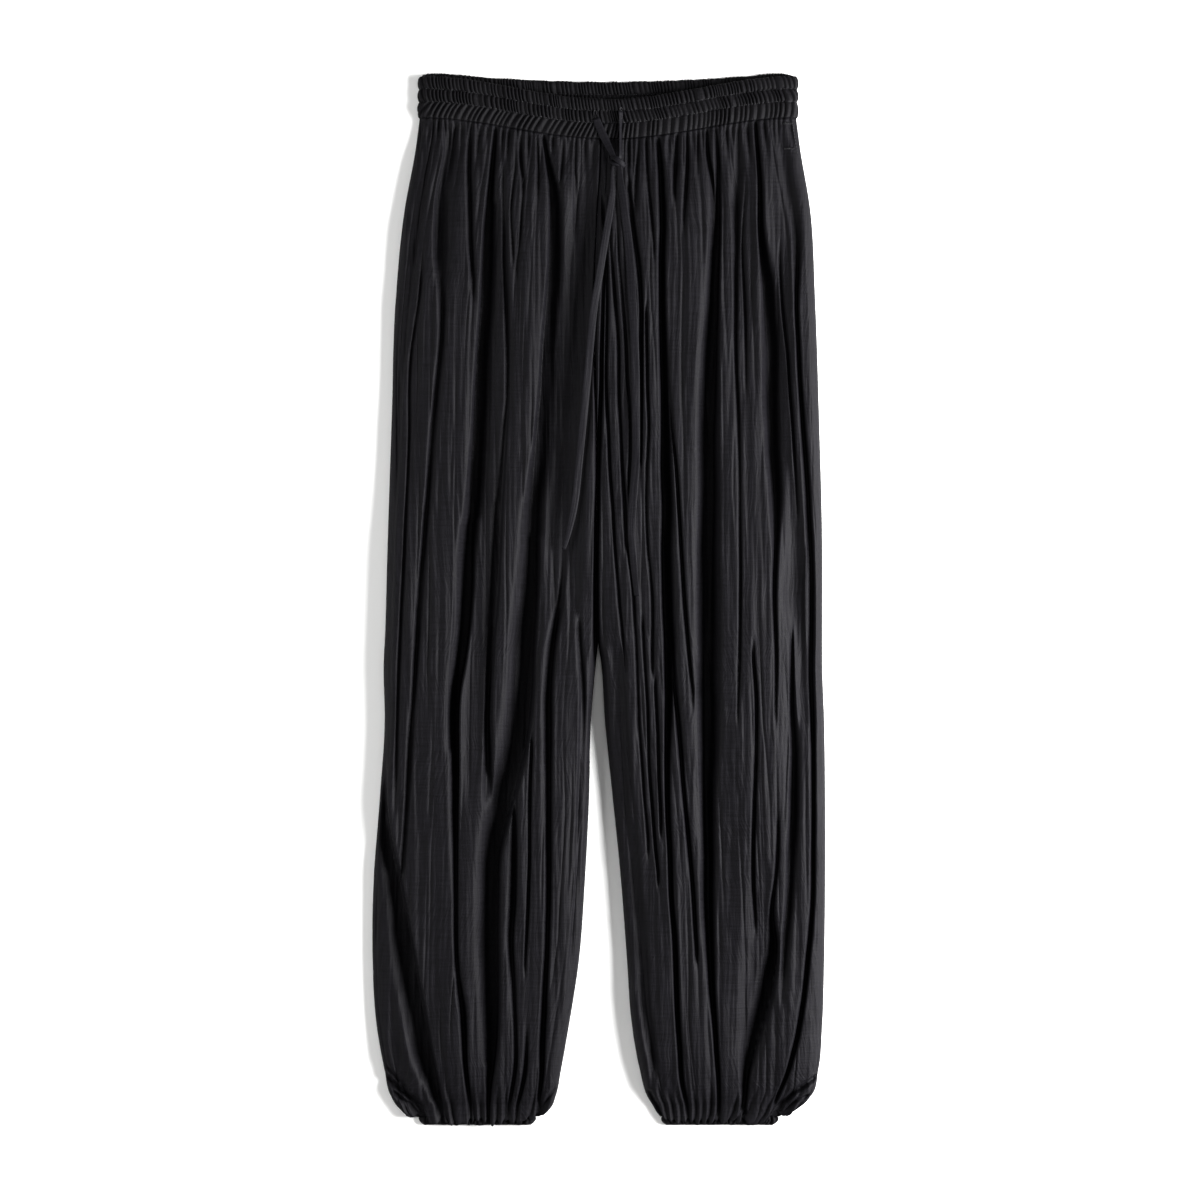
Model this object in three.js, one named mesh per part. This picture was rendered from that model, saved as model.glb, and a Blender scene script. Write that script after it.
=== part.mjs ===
import * as THREE from "three";

// Balloon trousers laid flat on a surface, in millimetres.
// X runs across the garment, Y from the hems up to the waist, Z up from the surface.
// Right and left are the wearer's, so the right leg lies at negative X.

// Cloth and the spaces between pieces
const LEG_CLOTH = 1.4; // leg cloth with its crinkle
const SEAM = 0.3; // clear space between neighbouring pieces at a seam
const LOWEST_FRONT = 2 * LEG_CLOTH + SEAM; // a front valley that lies on the back panel

// Waistband: three elastic channels, sagging in front
const WAIST_CENTRE = 8;
const WAIST_HALF = 189;
const BAND_CLOTH = 2;
const BAND_BEND = 9; // how far in from the side the band turns from front to back
const BAND_EDGE = 3; // height at which front and back halves meet
const BAND_HOLLOW = 8.4; // height of the front half's plain inside
const FRONT_RIM = 523;
const FRONT_RIM_SAG = 23;
const FRONT_SEAM = 481;
const FRONT_SEAM_SAG = 21;
const BACK_RIM = 518;
const BACK_RIM_RISE = 11;
const BACK_RIM_CORNER = 7; // how far the back rim rounds down at the sides
const BACK_RIM_CORNER_POWER = 24;
const BACK_SEAM = 477;
const BACK_SEAM_RISE = 4;
const WAIST_GATHERS = 64;
const WAIST_RIPPLE = 0.8;
const CHANNEL_PUFF = 0.5;
const CHANNEL_SCALLOP = 1.6; // how far a channel stands out at the sides

// Rows of the band from rim to seam: place down the band, and how full the channel is there
const BAND_ROWS = [
  { down: 0, full: 0.2 },
  { down: 0.15, full: 1 },
  { down: 0.3, full: 0 },
  { down: 0.45, full: 1 },
  { down: 0.6, full: 0 },
  { down: 0.8, full: 1 },
  { down: 1, full: 0 },
];

// Hem casings
const CUFF_CENTRE = { right: -122.5, left: 119.5 };
const CUFF_HALF = 58;
const CUFF_TOP = -516;
const CUFF_BOTTOM = -525;
const CUFF_CLOTH = 1.5;
const CUFF_BEND = 4;
const CUFF_EDGE = 2.6;
const CUFF_HOLLOW = 3.5;
const CUFF_GATHERS = 25;
const CUFF_RIPPLE = 0.7;
const CUFF_PUFF = 0.4;
const CUFF_SCALLOP = 1;
const CUFF_ROWS = [
  { down: 0, full: 0 },
  { down: 0.5, full: 1 },
  { down: 1, full: 0.2 },
];

// Outline of the legs at each height: outer edges, and inner edges.
// Above the crotch the inner edges are one centre seam.
const CROTCH = -52;
const OUTLINE = [
  { y: 480, rightOuter: -180, rightInner: 1, leftInner: 1, leftOuter: 196 },
  { y: 450, rightOuter: -184, rightInner: 0, leftInner: 0, leftOuter: 200 },
  { y: 390, rightOuter: -195, rightInner: -3, leftInner: -3, leftOuter: 210 },
  { y: 300, rightOuter: -204, rightInner: -6, leftInner: -6, leftOuter: 215 },
  { y: 180, rightOuter: -208, rightInner: -4, leftInner: -4, leftOuter: 219 },
  { y: 60, rightOuter: -212, rightInner: -3, leftInner: -3, leftOuter: 222 },
  { y: -42, rightOuter: -215, rightInner: -2, leftInner: -2, leftOuter: 222 },
  { y: -62, rightOuter: -216, rightInner: -4, leftInner: 1, leftOuter: 222 },
  { y: -120, rightOuter: -215, rightInner: -9, leftInner: 5, leftOuter: 224 },
  { y: -200, rightOuter: -220, rightInner: -11, leftInner: 13, leftOuter: 225 },
  { y: -280, rightOuter: -226, rightInner: -15, leftInner: 21, leftOuter: 225 },
  { y: -360, rightOuter: -227, rightInner: -21, leftInner: 27, leftOuter: 224 },
  { y: -425, rightOuter: -223, rightInner: -31, leftInner: 32, leftOuter: 222 },
  { y: -470, rightOuter: -215, rightInner: -39, leftInner: 40, leftOuter: 218 },
  { y: -495, rightOuter: -209, rightInner: -44, leftInner: 47, leftOuter: 211 },
  { y: -507, rightOuter: -201, rightInner: -49, leftInner: 54, leftOuter: 198 },
  { y: -512, rightOuter: -194, rightInner: -54, leftInner: 57, leftOuter: 186 },
  { y: -516, rightOuter: -184, rightInner: -61, leftInner: 60, leftOuter: 179 },
];

// How high the ridges of the front stand, and the height of the side seams and inseams
const HEIGHTS = [
  { y: 480, crown: 11.4, edge: 4.2 },
  { y: 458, crown: 13.5, edge: 4.2 },
  { y: 430, crown: 16.5, edge: 4.2 },
  { y: 390, crown: 19, edge: 4.2 },
  { y: 330, crown: 22, edge: 4.2 },
  { y: 160, crown: 24, edge: 4.2 },
  { y: -360, crown: 25, edge: 4.2 },
  { y: -425, crown: 24, edge: 4.2 },
  { y: -470, crown: 21, edge: 4 },
  { y: -495, crown: 16, edge: 3.6 },
  { y: -507, crown: 11.4, edge: 3.1 },
  { y: -512, crown: 9, edge: 2.8 },
  { y: -516, crown: 7, edge: 2.6 },
];

// Heights at which a fold's course and its depth are given
const COURSE = { waist: 470, hip: 340, seat: 200, thigh: 40, knee: -120, shin: -280, calf: -420, cuff: -506 };
const DEPTH = { top: 400, mid: 0, low: -400 };

// Valleys of the right front, from the side seam in: X at each height, and depth as a share of the ridge
const RIGHT_FOLDS = [
  {
    waist: -167, hip: -186, seat: -192, thigh: -199, knee: -207, shin: -209, calf: -188, cuff: -172,
    top: 0.15, mid: 0.15, low: 0.8,
  },
  {
    waist: -151, hip: -157, seat: -163, thigh: -176, knee: -187, shin: -190, calf: -172, cuff: -161,
    top: 0.4, mid: 0.45, low: 0.1,
  },
  {
    waist: -128, hip: -128, seat: -140, thigh: -152, knee: -163, shin: -166, calf: -156, cuff: -148,
    top: 0.4, mid: 0.05, low: 0.05,
  },
  {
    waist: -104, hip: -116, seat: -118, thigh: -127, knee: -140, shin: -143, calf: -139, cuff: -132,
    top: 0.8, mid: 0.8, low: 0.65,
  },
  {
    waist: -79, hip: -94, seat: -96, thigh: -103, knee: -112, shin: -107, calf: -114, cuff: -116,
    top: 0.45, mid: 0.4, low: 0.75,
  },
  {
    waist: -62, hip: -71, seat: -78, thigh: -85, knee: -94, shin: -97, calf: -99, cuff: -101,
    top: 0.4, mid: 0.05, low: 0.15,
  },
  {
    waist: -44, hip: -48, seat: -57, thigh: -67, knee: -76, shin: -87, calf: -85, cuff: -84,
    top: 0.8, mid: 0.8, low: 0.6,
  },
  {
    waist: -31, hip: -36, seat: -40, thigh: -42, knee: -48, shin: -52, calf: -62, cuff: -70,
    top: 0.1, mid: 0.4, low: 0.5,
  },
  {
    waist: -18, hip: -24, seat: -22, thigh: -20, knee: -22, shin: -30, calf: -46, cuff: -60,
    top: 0.5, mid: 0.35, low: 0.2,
  },
];

// Valleys of the left front, from the centre seam out
const LEFT_FOLDS = [
  {
    waist: 13, hip: 15, seat: 14, thigh: 13, knee: 17, shin: 32, calf: 43, cuff: 64,
    top: 0.4, mid: 0.4, low: 0.3,
  },
  {
    waist: 26, hip: 30, seat: 28, thigh: 27, knee: 34, shin: 42, calf: 52, cuff: 72,
    top: 0.4, mid: 0.35, low: 0.3,
  },
  {
    waist: 40, hip: 44, seat: 43, thigh: 41, knee: 49, shin: 52, calf: 62, cuff: 80,
    top: 0.4, mid: 0.3, low: 0.35,
  },
  {
    waist: 56, hip: 59, seat: 59, thigh: 61, knee: 62, shin: 65, calf: 73, cuff: 88,
    top: 0.85, mid: 0.8, low: 0.75,
  },
  {
    waist: 71, hip: 73, seat: 72, thigh: 76, knee: 76, shin: 78, calf: 84, cuff: 97,
    top: 0.35, mid: 0.4, low: 0.4,
  },
  {
    waist: 91, hip: 93, seat: 91, thigh: 93, knee: 92, shin: 93, calf: 96, cuff: 106,
    top: 0.4, mid: 0.1, low: 0.1,
  },
  {
    waist: 113, hip: 116, seat: 111, thigh: 110, knee: 108, shin: 109, calf: 109, cuff: 117,
    top: 0.7, mid: 0.7, low: 0.65,
  },
  {
    waist: 133, hip: 136, seat: 134, thigh: 140, knee: 146, shin: 151, calf: 154, cuff: 133,
    top: 0.4, mid: 0.1, low: 0.6,
  },
  {
    waist: 153, hip: 162, seat: 171, thigh: 173, knee: 173, shin: 172, calf: 175, cuff: 148,
    top: 0.65, mid: 0.5, low: 0.15,
  },
  {
    waist: 170, hip: 191, seat: 189, thigh: 189, knee: 191, shin: 192, calf: 194, cuff: 160,
    top: 0.35, mid: 0.35, low: 0.4,
  },
  {
    waist: 184, hip: 203, seat: 205, thigh: 207, knee: 210, shin: 210, calf: 208, cuff: 170,
    top: 0.2, mid: 0.35, low: 0.4,
  },
];

// Shape between the valleys
const PANEL_ROWS = [
  480, 458, 430, 390, 330, 250, 160, 70, 0, -42,
  -62, -120, -200, -280, -360, -425, -470, -495, -507, -512, -516,
];
const RIDGE_SHARES = [0.34, 0.66]; // where a ridge's shoulders lie between two valleys
const EDGE_SHARES = [0, 0.06, 0.25, 0.6]; // columns between a panel's edge and its first valley
const EDGE_ROUND = 0.6; // the share at which the rounded edge has reached the ridge
const SIDE_FALL = 0.35; // how much lower the ridges are at the sides of a leg
const SIDE_FALL_POWER = 4;
const INNER_FALL = { from: 60, to: -180 }; // the ridges beside the inseam fall gradually below the seat
const CENTRE_SEAM_DEPTH = 0.5;
const RIDGE_VARIETY = 0.14;
const RIDGE_STEP = 2.4;
const WAIST_CURVE_END = 330; // below this height the rows run straight across
const BACK_CURL = 4; // how far in from its edge a back panel turns up
const BACK_CURL_ANGLES = [0, 45, 90];

// Drawstring: a flat tie that leaves two buttonholes and is crossed once in a half knot
const TIE = { width: 8, thick: 1.4, corner: 0.4 };
const TWISTED_TIE = { width: 3.2, thick: 2.4, corner: 0.7 }; // where the tie stands on its edge
const TIE_STEP = 16;
const KNOT_SIDES = { around: 12, along: 8 };
const KNOT = { x: 17.5, y: 436, z: 17.8, halfWidth: 7, halfHeight: 4.5, halfDepth: 3.4 };
const UPPER_RIGHT_ROUTE = [
  { x: -4, y: 480, z: 12.7 },
  { x: 0, y: 470, z: 12.8 },
  { x: 6, y: 457, z: 13.7 },
  { x: 11, y: 446.5, z: 15.8 },
  { x: 13.9, y: 440.6, z: 17.2 },
];
const UPPER_LEFT_ROUTE = [
  { x: 21, y: 487, z: 13.2 },
  { x: 20.7, y: 476, z: 13.3 },
  { x: 20.5, y: 465, z: 13.5 },
  { x: 20.3, y: 453, z: 15 },
  { x: 20.2, y: 440.9, z: 17.4 },
];
const TAIL_RIGHT_ROUTE = [
  { x: 13.8, y: 430.8, z: 16.9 },
  { x: 13.2, y: 416, z: 17.2 },
  { x: 12, y: 402, z: 18.1 },
  { x: 8, y: 375, z: 20 },
  { x: 3, y: 345, z: 21.5 },
  { x: -1, y: 320, z: 21.6 },
  { x: -6, y: 290, z: 21.5 },
  { x: -10, y: 250, z: 22 },
  { x: -14, y: 206, z: 22.8 },
  { x: -18, y: 165, z: 23.1 },
  { x: -21, y: 135, z: 23 },
  { x: -24, y: 104, z: 23.3 },
  { x: -29, y: 76, z: 23.4 },
  { x: -36, y: 50, z: 23.4 },
];
const TAIL_LEFT_ROUTE = [
  { x: 19.4, y: 430.8, z: 19.2 },
  { x: 20.5, y: 415, z: 19.1 },
  { x: 23, y: 398, z: 19 },
  { x: 28, y: 358, z: 20.5 },
  { x: 30, y: 332, z: 22.4 },
  { x: 31.4, y: 307, z: 23.6 },
  { x: 33.5, y: 272, z: 24.1 },
  { x: 34.8, y: 240, z: 24.5 },
  { x: 35.5, y: 190, z: 25 },
  { x: 35.5, y: 142, z: 25.2 },
  { x: 33, y: 104, z: 25.3 },
  { x: 31.4, y: 70, z: 25.4 },
  { x: 33.5, y: 36, z: 25.5 },
  { x: 36.5, y: 4, z: 25.5 },
];

const cloth = (colour) => new THREE.MeshStandardMaterial({ color: colour, roughness: 0.72, metalness: 0 });
const LEG_MATERIAL = cloth("#2d2c30");
const BAND_MATERIAL = cloth("#2b2a2e");
const CUFF_MATERIAL = cloth("#2a292d");
const TIE_MATERIAL = cloth("#302f33");

// Value of one column of a table at a height, in proportion between its rows
function valueAt(rows, y, column) {
  if (y >= rows[0].y) return rows[0][column];
  const next = rows.findIndex((row) => row.y <= y);
  if (next < 0) return rows.at(-1)[column];
  const above = rows[next - 1];
  const below = rows[next];
  const share = (above.y - y) / (above.y - below.y);
  return THREE.MathUtils.lerp(above[column], below[column], share);
}

// A fold's named columns as rows with heights
function foldValue(fold, heights, y) {
  const rows = Object.entries(heights).map(([name, height]) => ({ y: height, value: fold[name] }));
  return valueAt(rows, y, "value");
}

const waistShare = (x) => THREE.MathUtils.clamp((x - WAIST_CENTRE) / WAIST_HALF, -1, 1);
const sag = (share) => (1 + Math.cos(Math.PI * share)) / 2;
const frontRimY = (x) => FRONT_RIM - FRONT_RIM_SAG * sag(waistShare(x));
const frontSeamY = (x) => FRONT_SEAM - FRONT_SEAM_SAG * sag(waistShare(x));
const backRimY = (x) =>
  BACK_RIM + BACK_RIM_RISE * waistShare(x) ** 2 - BACK_RIM_CORNER * waistShare(x) ** BACK_RIM_CORNER_POWER;
const backSeamY = (x) => BACK_SEAM + BACK_SEAM_RISE * waistShare(x) ** 2;

// Height of a panel's point along Y: rows near the waist follow the waist seam
function rowY(x, nominal, seamY) {
  const top = PANEL_ROWS[0];
  const follow = THREE.MathUtils.clamp((nominal - WAIST_CURVE_END) / (top - WAIST_CURVE_END), 0, 1);
  return nominal + (seamY(x) - SEAM - top) * follow;
}

// Triangles between two lines of points, which may have different numbers of points
function laceTriangles(a, b, out) {
  let i = 0;
  let j = 0;
  while (i < a.length - 1 || j < b.length - 1) {
    const nextA = (i + 1) / (a.length - 1);
    const nextB = (j + 1) / (b.length - 1);
    if (i < a.length - 1 && nextA <= nextB) {
      out.push(a[i], a[i + 1], b[j]);
      i += 1;
    } else {
      out.push(a[i], b[j + 1], b[j]);
      j += 1;
    }
  }
}

// A closed wall between an upper and a lower sheet of rows; rows run along X and follow each other up Y
function closedWall(upper, lower) {
  const out = [];
  const column = (sheet, index) => sheet.map((row) => row.at(index));
  for (let r = 0; r + 1 < upper.length; r += 1) laceTriangles(upper[r], upper[r + 1], out);
  for (let r = 0; r + 1 < lower.length; r += 1) laceTriangles(lower[r + 1], lower[r], out);
  laceTriangles(lower[0], upper[0], out);
  laceTriangles(upper.at(-1), lower.at(-1), out);
  laceTriangles(column(upper, 0), column(lower, 0), out);
  laceTriangles(column(lower, -1), column(upper, -1), out);
  return new THREE.BufferGeometry().setFromPoints(out);
}

// The points of a sheet moved square to its rows; the directions of its first and last column are given
function movedSheet(sheet, distance, firstNormal, lastNormal) {
  return sheet.map((row, r) =>
    row.map((point, c) => {
      let normal;
      if (c === 0) normal = firstNormal(r);
      else if (c === row.length - 1) normal = lastNormal(r);
      else {
        const across = row[c + 1].clone().sub(row[c - 1]);
        normal = new THREE.Vector3(-across.z, 0, across.x).normalize();
      }
      return point.clone().addScaledVector(normal, distance);
    }),
  );
}

const UP = new THREE.Vector3(0, 0, 1);
const TO_RIGHT = new THREE.Vector3(-1, 0, 0); // towards negative X
const TO_LEFT = new THREE.Vector3(1, 0, 0);

const rowsUpwards = [...PANEL_ROWS].reverse();
const isOpen = (y) => y < CROTCH;

// Both legs: their folds from low X to high X, and which edge is the outer one
const LEGS = {
  right: { folds: RIGHT_FOLDS, low: "rightOuter", high: "rightInner", outerIsLow: true },
  left: { folds: LEFT_FOLDS, low: "leftInner", high: "leftOuter", outerIsLow: false },
};

// Edges of a leg at a height, with half the seam's space taken off where the two legs meet
function legEdges(leg, y) {
  const half = isOpen(y) ? 0 : SEAM / 2;
  const low = valueAt(OUTLINE, y, leg.low) + (leg.outerIsLow ? 0 : half);
  const high = valueAt(OUTLINE, y, leg.high) - (leg.outerIsLow ? half : 0);
  return { low, high };
}

// Ridge height at a place on a leg's front
function crownAt(leg, x, y, ridge) {
  const { low, high } = legEdges(leg, y);
  const across = (2 * x - low - high) / (high - low);
  const towardsOuter = leg.outerIsLow ? across < 0 : across > 0;
  const share = towardsOuter ? 1 : THREE.MathUtils.smoothstep(-y, -INNER_FALL.from, -INNER_FALL.to);
  const fall = share * SIDE_FALL * across ** SIDE_FALL_POWER;
  const variety = 1 - (RIDGE_VARIETY * (1 + Math.sin(RIDGE_STEP * ridge))) / 2;
  return LOWEST_FRONT + (valueAt(HEIGHTS, y, "crown") - LOWEST_FRONT) * (1 - fall) * variety;
}

// One row of a front panel from its low edge to its high edge
function frontRow(leg, nominal) {
  const { low, high } = legEdges(leg, nominal);
  const sideHeight = valueAt(HEIGHTS, nominal, "edge");
  const crown = valueAt(HEIGHTS, nominal, "crown");
  const seamHeight = LOWEST_FRONT + (crown - LOWEST_FRONT) * (1 - CENTRE_SEAM_DEPTH);
  const innerHeight = isOpen(nominal) ? sideHeight : seamHeight;
  const lowHeight = leg.outerIsLow ? sideHeight : innerHeight;
  const highHeight = leg.outerIsLow ? innerHeight : sideHeight;
  const valleys = leg.folds.map((fold) => ({
    x: foldValue(fold, COURSE, nominal),
    depth: foldValue(fold, DEPTH, nominal),
  }));
  const flat = [];
  const rounded = (share) => Math.sqrt(1 - (1 - Math.min(share / EDGE_ROUND, 1)) ** 2);
  const edgePoints = (edge, height, firstValley, ridge) =>
    EDGE_SHARES.map((share) => {
      const x = THREE.MathUtils.lerp(edge, firstValley, share);
      return { x, z: height + (crownAt(leg, x, nominal, ridge) - height) * rounded(share) };
    });
  flat.push(...edgePoints(low, lowHeight, valleys[0].x, 0));
  valleys.forEach((valley, i) => {
    const ridgeHere = crownAt(leg, valley.x, nominal, i);
    flat.push({ x: valley.x, z: LOWEST_FRONT + (ridgeHere - LOWEST_FRONT) * (1 - valley.depth) });
    if (i + 1 === valleys.length) return;
    RIDGE_SHARES.forEach((share) => {
      const x = THREE.MathUtils.lerp(valley.x, valleys[i + 1].x, share);
      flat.push({ x, z: crownAt(leg, x, nominal, i + 1) });
    });
  });
  flat.push(...edgePoints(high, highHeight, valleys.at(-1).x, valleys.length).reverse());
  return flat.map(({ x, z }) => new THREE.Vector3(x, rowY(x, nominal, frontSeamY), z));
}

// Front panel of a leg: a folded sheet with its cloth below
function legFront(side) {
  const leg = LEGS[side];
  const upper = rowsUpwards.map((y) => frontRow(leg, y));
  const innerNormal = (outward) => (r) => (isOpen(rowsUpwards[r]) ? outward : UP);
  const lowNormal = leg.outerIsLow ? () => TO_RIGHT : innerNormal(TO_RIGHT);
  const highNormal = leg.outerIsLow ? innerNormal(TO_LEFT) : () => TO_LEFT;
  const lower = movedSheet(upper, -LEG_CLOTH, lowNormal, highNormal);
  return closedWall(upper, lower);
}

// One row of a back panel's underside: flat on the surface and turned up at its free edges
function backRow(leg, nominal) {
  const { low, high } = legEdges(leg, nominal);
  const rise = valueAt(HEIGHTS, nominal, "edge") - SEAM;
  const curl = (edge, inward, turned) =>
    BACK_CURL_ANGLES.map((degrees) => {
      const angle = THREE.MathUtils.degToRad(degrees);
      const x = edge + inward * BACK_CURL * (1 - Math.cos(angle));
      return { x, z: turned ? rise * (1 - Math.sin(angle)) : 0 };
    });
  const lowTurned = leg.outerIsLow || isOpen(nominal);
  const highTurned = !leg.outerIsLow || isOpen(nominal);
  const flat = [
    ...curl(low, 1, lowTurned),
    { x: (low + high) / 2, z: 0 },
    ...curl(high, -1, highTurned).reverse(),
  ];
  return flat.map(({ x, z }) => new THREE.Vector3(x, rowY(x, nominal, backSeamY), z));
}

// Back panel of a leg: its underside lies on the surface, its cloth above
function legBack(side) {
  const leg = LEGS[side];
  const lower = rowsUpwards.map((y) => backRow(leg, y));
  const innerNormal = (inward) => (r) => (isOpen(rowsUpwards[r]) ? inward : UP);
  const lowNormal = leg.outerIsLow ? () => TO_LEFT : innerNormal(TO_LEFT);
  const highNormal = leg.outerIsLow ? innerNormal(TO_RIGHT) : () => TO_RIGHT;
  const upper = movedSheet(lower, LEG_CLOTH, lowNormal, highNormal);
  return closedWall(upper, lower);
}

// Half of a band's section: straight in the middle, turned down (or up, with a negative rise) at both sides
function sectionPoint(share, half, bend, edge, rise) {
  const arc = (Math.PI / 2) * Math.sqrt((bend ** 2 + rise ** 2) / 2);
  const straight = 2 * (half - bend);
  const length = straight + 2 * arc;
  const fromLeft = share * length;
  const fromRight = length - fromLeft;
  const nearest = Math.min(fromLeft, fromRight);
  const side = fromLeft <= fromRight ? -1 : 1;
  const angle = (Math.min(nearest / arc, 1) * Math.PI) / 2;
  const alongStraight = Math.max(nearest - arc, 0);
  const x = side * (half - bend + bend * Math.cos(angle) - alongStraight);
  const z = edge + rise * Math.sin(angle);
  const outward = rise > 0 ? side : -side;
  const normal = new THREE.Vector3((outward * Math.cos(angle)) / bend, 0, Math.sin(angle) / Math.abs(rise));
  return { x, z, normal: normal.normalize() };
}

// Half of a gathered band: one plain face, and one with gathers and full channels
function gatheredHalf(band) {
  const columns = 2 * band.gathers;
  const place = (row, c, half) => {
    const { x, z, normal } = sectionPoint(c / columns, half, band.bend, band.edge, band.rise);
    const rim = band.rimY(x + band.centre);
    const seam = band.seamY(x + band.centre);
    const y = THREE.MathUtils.lerp(rim, seam, row.down);
    return { point: new THREE.Vector3(x + band.centre, y, z), normal };
  };
  const rows = [...band.rows].reverse();
  const halfAt = (row) => band.half + band.scallop * row.full;
  const relief = rows.map((row) =>
    Array.from({ length: columns + 1 }, (_, c) => {
      const { point, normal } = place(row, c, halfAt(row));
      const ridge = c % 2 === 1 ? band.ripple : 0;
      return point.addScaledVector(normal, band.cloth + ridge + band.puff * row.full);
    }),
  );
  const plain = [rows[0], rows.at(-1)].map((row) =>
    Array.from({ length: columns + 1 }, (_, c) => place(row, c, halfAt(row)).point),
  );
  return closedWall(relief, plain);
}

const waistband = {
  centre: WAIST_CENTRE,
  bend: BAND_BEND,
  cloth: BAND_CLOTH,
  gathers: WAIST_GATHERS,
  ripple: WAIST_RIPPLE,
  puff: CHANNEL_PUFF,
  rows: BAND_ROWS,
};

const waistbandFront = () =>
  gatheredHalf({
    ...waistband,
    half: WAIST_HALF - BAND_CLOTH - CHANNEL_SCALLOP,
    scallop: CHANNEL_SCALLOP,
    edge: BAND_EDGE,
    rise: BAND_HOLLOW - BAND_EDGE,
    rimY: frontRimY,
    seamY: frontSeamY,
  });

const waistbandBack = () =>
  gatheredHalf({
    ...waistband,
    half: WAIST_HALF - CHANNEL_SCALLOP,
    scallop: 0,
    edge: BAND_EDGE - SEAM,
    rise: -(BAND_EDGE - SEAM),
    rimY: backRimY,
    seamY: backSeamY,
  });

const cuff = (side) => ({
  centre: CUFF_CENTRE[side],
  bend: CUFF_BEND,
  cloth: CUFF_CLOTH,
  gathers: CUFF_GATHERS,
  rows: CUFF_ROWS,
  rimY: () => CUFF_BOTTOM,
  seamY: () => CUFF_TOP - SEAM,
});

// The casing's free edge is its lowest row, so its rows run the other way up
const upsideDown = (band) => ({
  ...band,
  rimY: band.seamY,
  seamY: band.rimY,
});

const cuffFront = (side) =>
  gatheredHalf({
    ...upsideDown(cuff(side)),
    half: CUFF_HALF - CUFF_CLOTH,
    scallop: CUFF_SCALLOP,
    edge: CUFF_EDGE,
    rise: CUFF_HOLLOW - CUFF_EDGE,
    ripple: CUFF_RIPPLE,
    puff: CUFF_PUFF,
  });

const cuffBack = (side) =>
  gatheredHalf({
    ...upsideDown(cuff(side)),
    half: CUFF_HALF,
    scallop: 0,
    edge: CUFF_EDGE - SEAM,
    rise: -(CUFF_EDGE - SEAM),
    ripple: 0,
    puff: 0,
  });

// A flat tie drawn along its route, its section's corners cut
function tie(route, { width, thick, corner }) {
  const path = new THREE.CatmullRomCurve3(route.map(({ x, y, z }) => new THREE.Vector3(x, y, z)));
  const steps = Math.ceil(path.getLength() / TIE_STEP);
  const standsFirst = Math.abs(path.computeFrenetFrames(steps).normals[0].z) > Math.SQRT1_2;
  const [a, b] = standsFirst ? [thick / 2, width / 2] : [width / 2, thick / 2];
  const section = new THREE.Shape(
    [
      [a - corner, -b],
      [a, corner - b],
      [a, b - corner],
      [a - corner, b],
      [corner - a, b],
      [-a, b - corner],
      [-a, corner - b],
      [corner - a, -b],
    ].map(([x, y]) => new THREE.Vector2(x, y)),
  );
  return new THREE.ExtrudeGeometry(section, { steps, extrudePath: path });
}

// The loose half knot, drawn down to its outer form
function knot() {
  const lump = new THREE.SphereGeometry(1, KNOT_SIDES.around, KNOT_SIDES.along);
  lump.scale(KNOT.halfWidth, KNOT.halfHeight, KNOT.halfDepth);
  return lump.translate(KNOT.x, KNOT.y, KNOT.z);
}

const PIECES = [
  { name: "leg_back_right", make: () => legBack("right"), material: LEG_MATERIAL },
  { name: "leg_back_left", make: () => legBack("left"), material: LEG_MATERIAL },
  { name: "leg_front_right", make: () => legFront("right"), material: LEG_MATERIAL },
  { name: "leg_front_left", make: () => legFront("left"), material: LEG_MATERIAL },
  { name: "waistband_back", make: waistbandBack, material: BAND_MATERIAL },
  { name: "waistband_front", make: waistbandFront, material: BAND_MATERIAL },
  { name: "cuff_right_back", make: () => cuffBack("right"), material: CUFF_MATERIAL },
  { name: "cuff_right_front", make: () => cuffFront("right"), material: CUFF_MATERIAL },
  { name: "cuff_left_back", make: () => cuffBack("left"), material: CUFF_MATERIAL },
  { name: "cuff_left_front", make: () => cuffFront("left"), material: CUFF_MATERIAL },
];

const DRAWSTRING = [
  { name: "drawstring_upper_right", make: () => tie(UPPER_RIGHT_ROUTE, TIE) },
  { name: "drawstring_upper_left", make: () => tie(UPPER_LEFT_ROUTE, TWISTED_TIE) },
  { name: "drawstring_tail_right", make: () => tie(TAIL_RIGHT_ROUTE, TIE) },
  { name: "drawstring_tail_left", make: () => tie(TAIL_LEFT_ROUTE, TIE) },
  { name: "drawstring_knot", make: knot },
];

function meshOf({ name, make, material }) {
  const mesh = new THREE.Mesh(make(), material);
  mesh.name = name;
  return mesh;
}

const garment = new THREE.Group();
garment.add(...PIECES.map(meshOf));

// The origin is the middle of the cloth's underside, so the drawstring doesn't move it
const middle = new THREE.Box3().setFromObject(garment).getCenter(new THREE.Vector3());
garment.position.set(-middle.x, -middle.y, 0);
garment.add(...DRAWSTRING.map((piece) => meshOf({ ...piece, material: TIE_MATERIAL })));

export default garment;
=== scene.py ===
import math

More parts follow.
